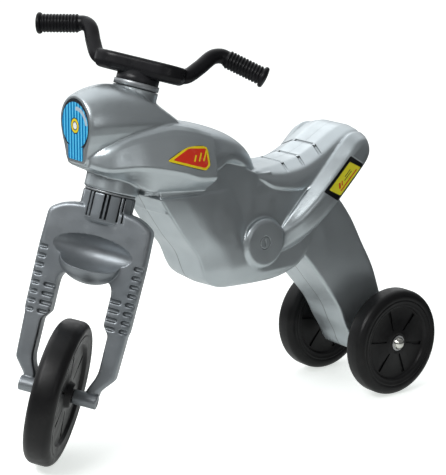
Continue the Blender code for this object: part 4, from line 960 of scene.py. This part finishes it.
def grip_skin(pile, side):
    """Ribbed grip with a rounded end flange."""
    start, end = Vector((side * 0.096, 0.04, 0.0338)), Vector((side * 0.153, 0.041, 0.021))
    length = (end - start).length
    body_end = length - 0.0075
    pitch = (body_end - 0.004) / 11
    profile = [(0, 0), (0.0095, 0)]
    for k in range(11):
        for t in range(8):
            swell = max(0.0, math.cos(2 * math.pi * (t / 8 - 0.5)) * 0.5 + 0.5) ** 0.6
            profile.append((0.0106 + 0.0015 * swell, 0.003 + pitch * (k + t / 8)))
    profile += [(0.0101, body_end)]
    profile += [(0.0112 + 0.0028 * s, body_end + 0.0032 - 0.003 * c) for c, s in circle(16)[:9]]
    profile += [(0.007, length - 0.0006), (0.0, length)]
    pile.turn(profile, pointing(start, end - start), 64)


def handlebar_piece():
    """Handlebar: pad and arms melted together, with a bored hub and ribbed grips."""
    half, deep, low, top = 0.059, 0.028, -0.015, 0.0075
    corners = [(half, -0.012, 0.008), (0.04, -deep, 0.012), (-0.04, -deep, 0.012),
               (-half, -0.012, 0.008), (-half, 0.016, 0.01), (-0.04, deep, 0.012),
               (0.04, deep, 0.012), (half, 0.016, 0.01)]
    pad = Pile().plate(
        corners, [(low, 0.007), (low + 0.0012, 0.0044), (low + 0.003, 0.0025),
                  (low + 0.008, 0.0), (top - 0.005, 0.0), (top - 0.0025, 0.0006),
                  (top - 0.0008, 0.0018), (top, 0.0038)], level_at)
    for side in (1, -1):
        tube(pad, bar_path(side), 0.0097)
    dip = Pile().plate(corners, [(top - 0.0016, 0.0075), (top - 0.0012, 0.0066),
                                 (top + 0.01, 0.006)], level_at)
    mesh = carved(melted(pad, "handlebar", voxel=0.0009, passes=5), "handlebar", dip)
    whole = Pile()
    whole.work.from_mesh(mesh)
    whole.turn([(STEM_ROOM, -0.0269), (0.0262, -0.0269), (0.0272, -0.0259), (0.0272, -0.009),
                (STEM_ROOM, -0.009)])
    for side in (1, -1):
        grip_skin(whole, side)
    piece(whole.mesh("handlebar"), "handlebar_moulding", "steering", ["handlebar"],
          bar_plastic, STEERED)


def wheel_piece(name, node, body, size, place):
    """Wheel turned about its axle, with stepped radial grooves in both dished faces."""
    radius, width, hub_half, hub_ring = size
    half, shoulder, bore = width / 2, 0.28 * width, 0.0055
    web, wall = half - 0.006, radius - shoulder
    side = [(bore, hub_half), (0.0143, hub_half), (0.015, hub_half - 0.0007),
            (0.016, hub_half - 0.0015), (0.0172, web + 0.001), (0.0185, web)]
    side += [(hub_ring + u, z) for u, z in (
        (-0.003, web), (-0.0012, web + 0.0005), (-0.0004, web + 0.0018), (0.0, half - 0.0036),
        (0.0006, half - 0.0022), (0.002, half - 0.0014), (0.0035, half - 0.0016),
        (0.0052, half - 0.001))]
    side += [(wall - u, half - v) for u, v in
             ((0.0065, 0.0003), (0.0055, 0.0011), (0.0045, 0.0011), (0.0035, 0.0003))]
    side += [(radius - shoulder * (1 - s) - 0.0008 * c, half - shoulder * (1 - c))
             for c, s in circle(40)[1:10]]
    side += [(radius, half - shoulder)]
    rim = Pile().band(side + [(radius + 0.0001, 0.0)] + [(r, -h) for r, h in reversed(side)])
    cut = Pile()
    inner, mid, outer = 0.36 * hub_ring, 0.62 * hub_ring, 0.93 * hub_ring
    corners = [(inner, -0.0012, 0), (mid, -0.0022, 0), (mid + 0.001, -0.0034, 0),
               (outer, -0.004, 0), (outer, 0.0016, 0), (inner, 0.001, 0)]
    for face in (1, -1):
        levels = [(z, 0.0) for z in sorted((face * (web - 0.0022), face * (web + 0.01)))]
        for k in range(6):
            cut.plate(corners, levels, level_at, Matrix.Rotation(math.pi / 3 * k + 0.35, 4, "Z"), 1)
    mesh = carved(rim.mesh(name), name, cut)
    mesh.transform(outward(1))
    made = piece(mesh, name, body, [node], wheel_plastic, place)
    made.data.set_sharp_from_angle(angle=math.radians(40))


def cap_piece(side, word):
    """Domed push-on cap with a small flange, turned about the axle."""
    base = REAR_X + REAR_HUB + 2 * GAP + WASHER
    profile = [(0.005, base), (0.0084, base), (0.0086, base + 0.0003), (0.0086, base + 0.0009),
               (0.008, base + 0.0013)]
    profile += [(0.008 * c, base + 0.0012 + 0.005 * s) for c, s in circle(64)[1:17]]
    mesh = Pile().turn(profile, segments=64).mesh("axle_cap")
    mesh.transform(outward(side))
    piece(mesh, f"axle_cap_{word}", "chassis", [f"rear_cap_{word}"], cap_metal,
          Matrix.Translation((0, REAR_Y, REAR_Z)))


def collar_piece(word, sign, face, tube_r):
    """Flanged bush of the steering head, of which the rim shows; the upper one has a skirt."""
    outer = tube_r - 0.0022
    pile = Pile().band([
        (0.0145, sign * 0.003), (outer - 0.001, sign * 0.003), (outer - 0.0003, sign * 0.0027),
        (outer, sign * 0.002), (outer, sign * 0.0004), (outer - 0.0004, 0.0), (0.017, 0.0),
        (0.017, -sign * 0.014), (0.0145, -sign * 0.014)])
    if sign > 0:
        pile.band([(0.0279, 0.0003), (0.029, 0.0003), (0.029, 0.0066), (0.0287, 0.007),
                   (0.0282, 0.007), (0.0279, 0.0067)])
    name = f"{word}_collar"
    piece(pile.mesh(name), name, "chassis", [f"{word}_head_bush"], bush_plastic,
          HEAD @ Matrix.Translation((0, 0, face + sign * GAP)))


def camera():
    """The photograph's camera."""
    data = bpy.data.cameras.new("photo_camera")
    data.sensor_width = SENSOR
    data.lens = SENSOR * FOCAL_PIXELS / FRAME_PIXELS
    data.clip_start = 0.05
    data.clip_end = 60.0
    made = linked("photo_camera", data)
    yaw, pitch, roll = CAMERA_ANGLES
    ahead = Vector((-math.sin(yaw) * math.cos(pitch), math.cos(yaw) * math.cos(pitch),
                    -math.sin(pitch)))
    across = Vector((math.cos(yaw), math.sin(yaw), 0.0))
    over = across.cross(ahead)
    right = across * math.cos(roll) + over * math.sin(roll)
    above = over * math.cos(roll) - across * math.sin(roll)
    turn = Matrix((right, above, -ahead)).transposed().to_4x4()
    made.matrix_world = Matrix.Translation(CAMERA_PLACE) @ turn
    scene.camera = made


body_piece()
fork_piece()
handlebar_piece()
wheel_piece("front_tyre", "front_wheel", "front_roller", FRONT_WHEEL, STEERED @ FRONT_HUB)
for side, word in ((1, "left"), (-1, "right")):
    wheel_piece(f"tyre_{word}", f"rear_wheel_{word}", f"{word}_roller", REAR_WHEEL,
                Matrix.Translation((side * REAR_X, REAR_Y, REAR_Z)))
    cap_piece(side, word)
collar_piece("upper", 1, HEAD_TOP, UPPER_R)
collar_piece("lower", -1, HEAD_LOW, LOWER_R)
build_floor()
build_world()
lamp("key", (0.4, -2.0, 2.1), (0.03, -0.05, 0.3), (1.5, 0.8), 48.0)
lamp("back", (-1.7, 0.75, 1.55), (0.0, 0.05, 0.3), (1.0, 1.0), 2.5)
lamp("fill", (2.4, -0.6, 0.9), (0.03, 0.0, 0.25), (0.7, 1.0), 2.5)
camera()
scene.view_settings.view_transform = "Standard"
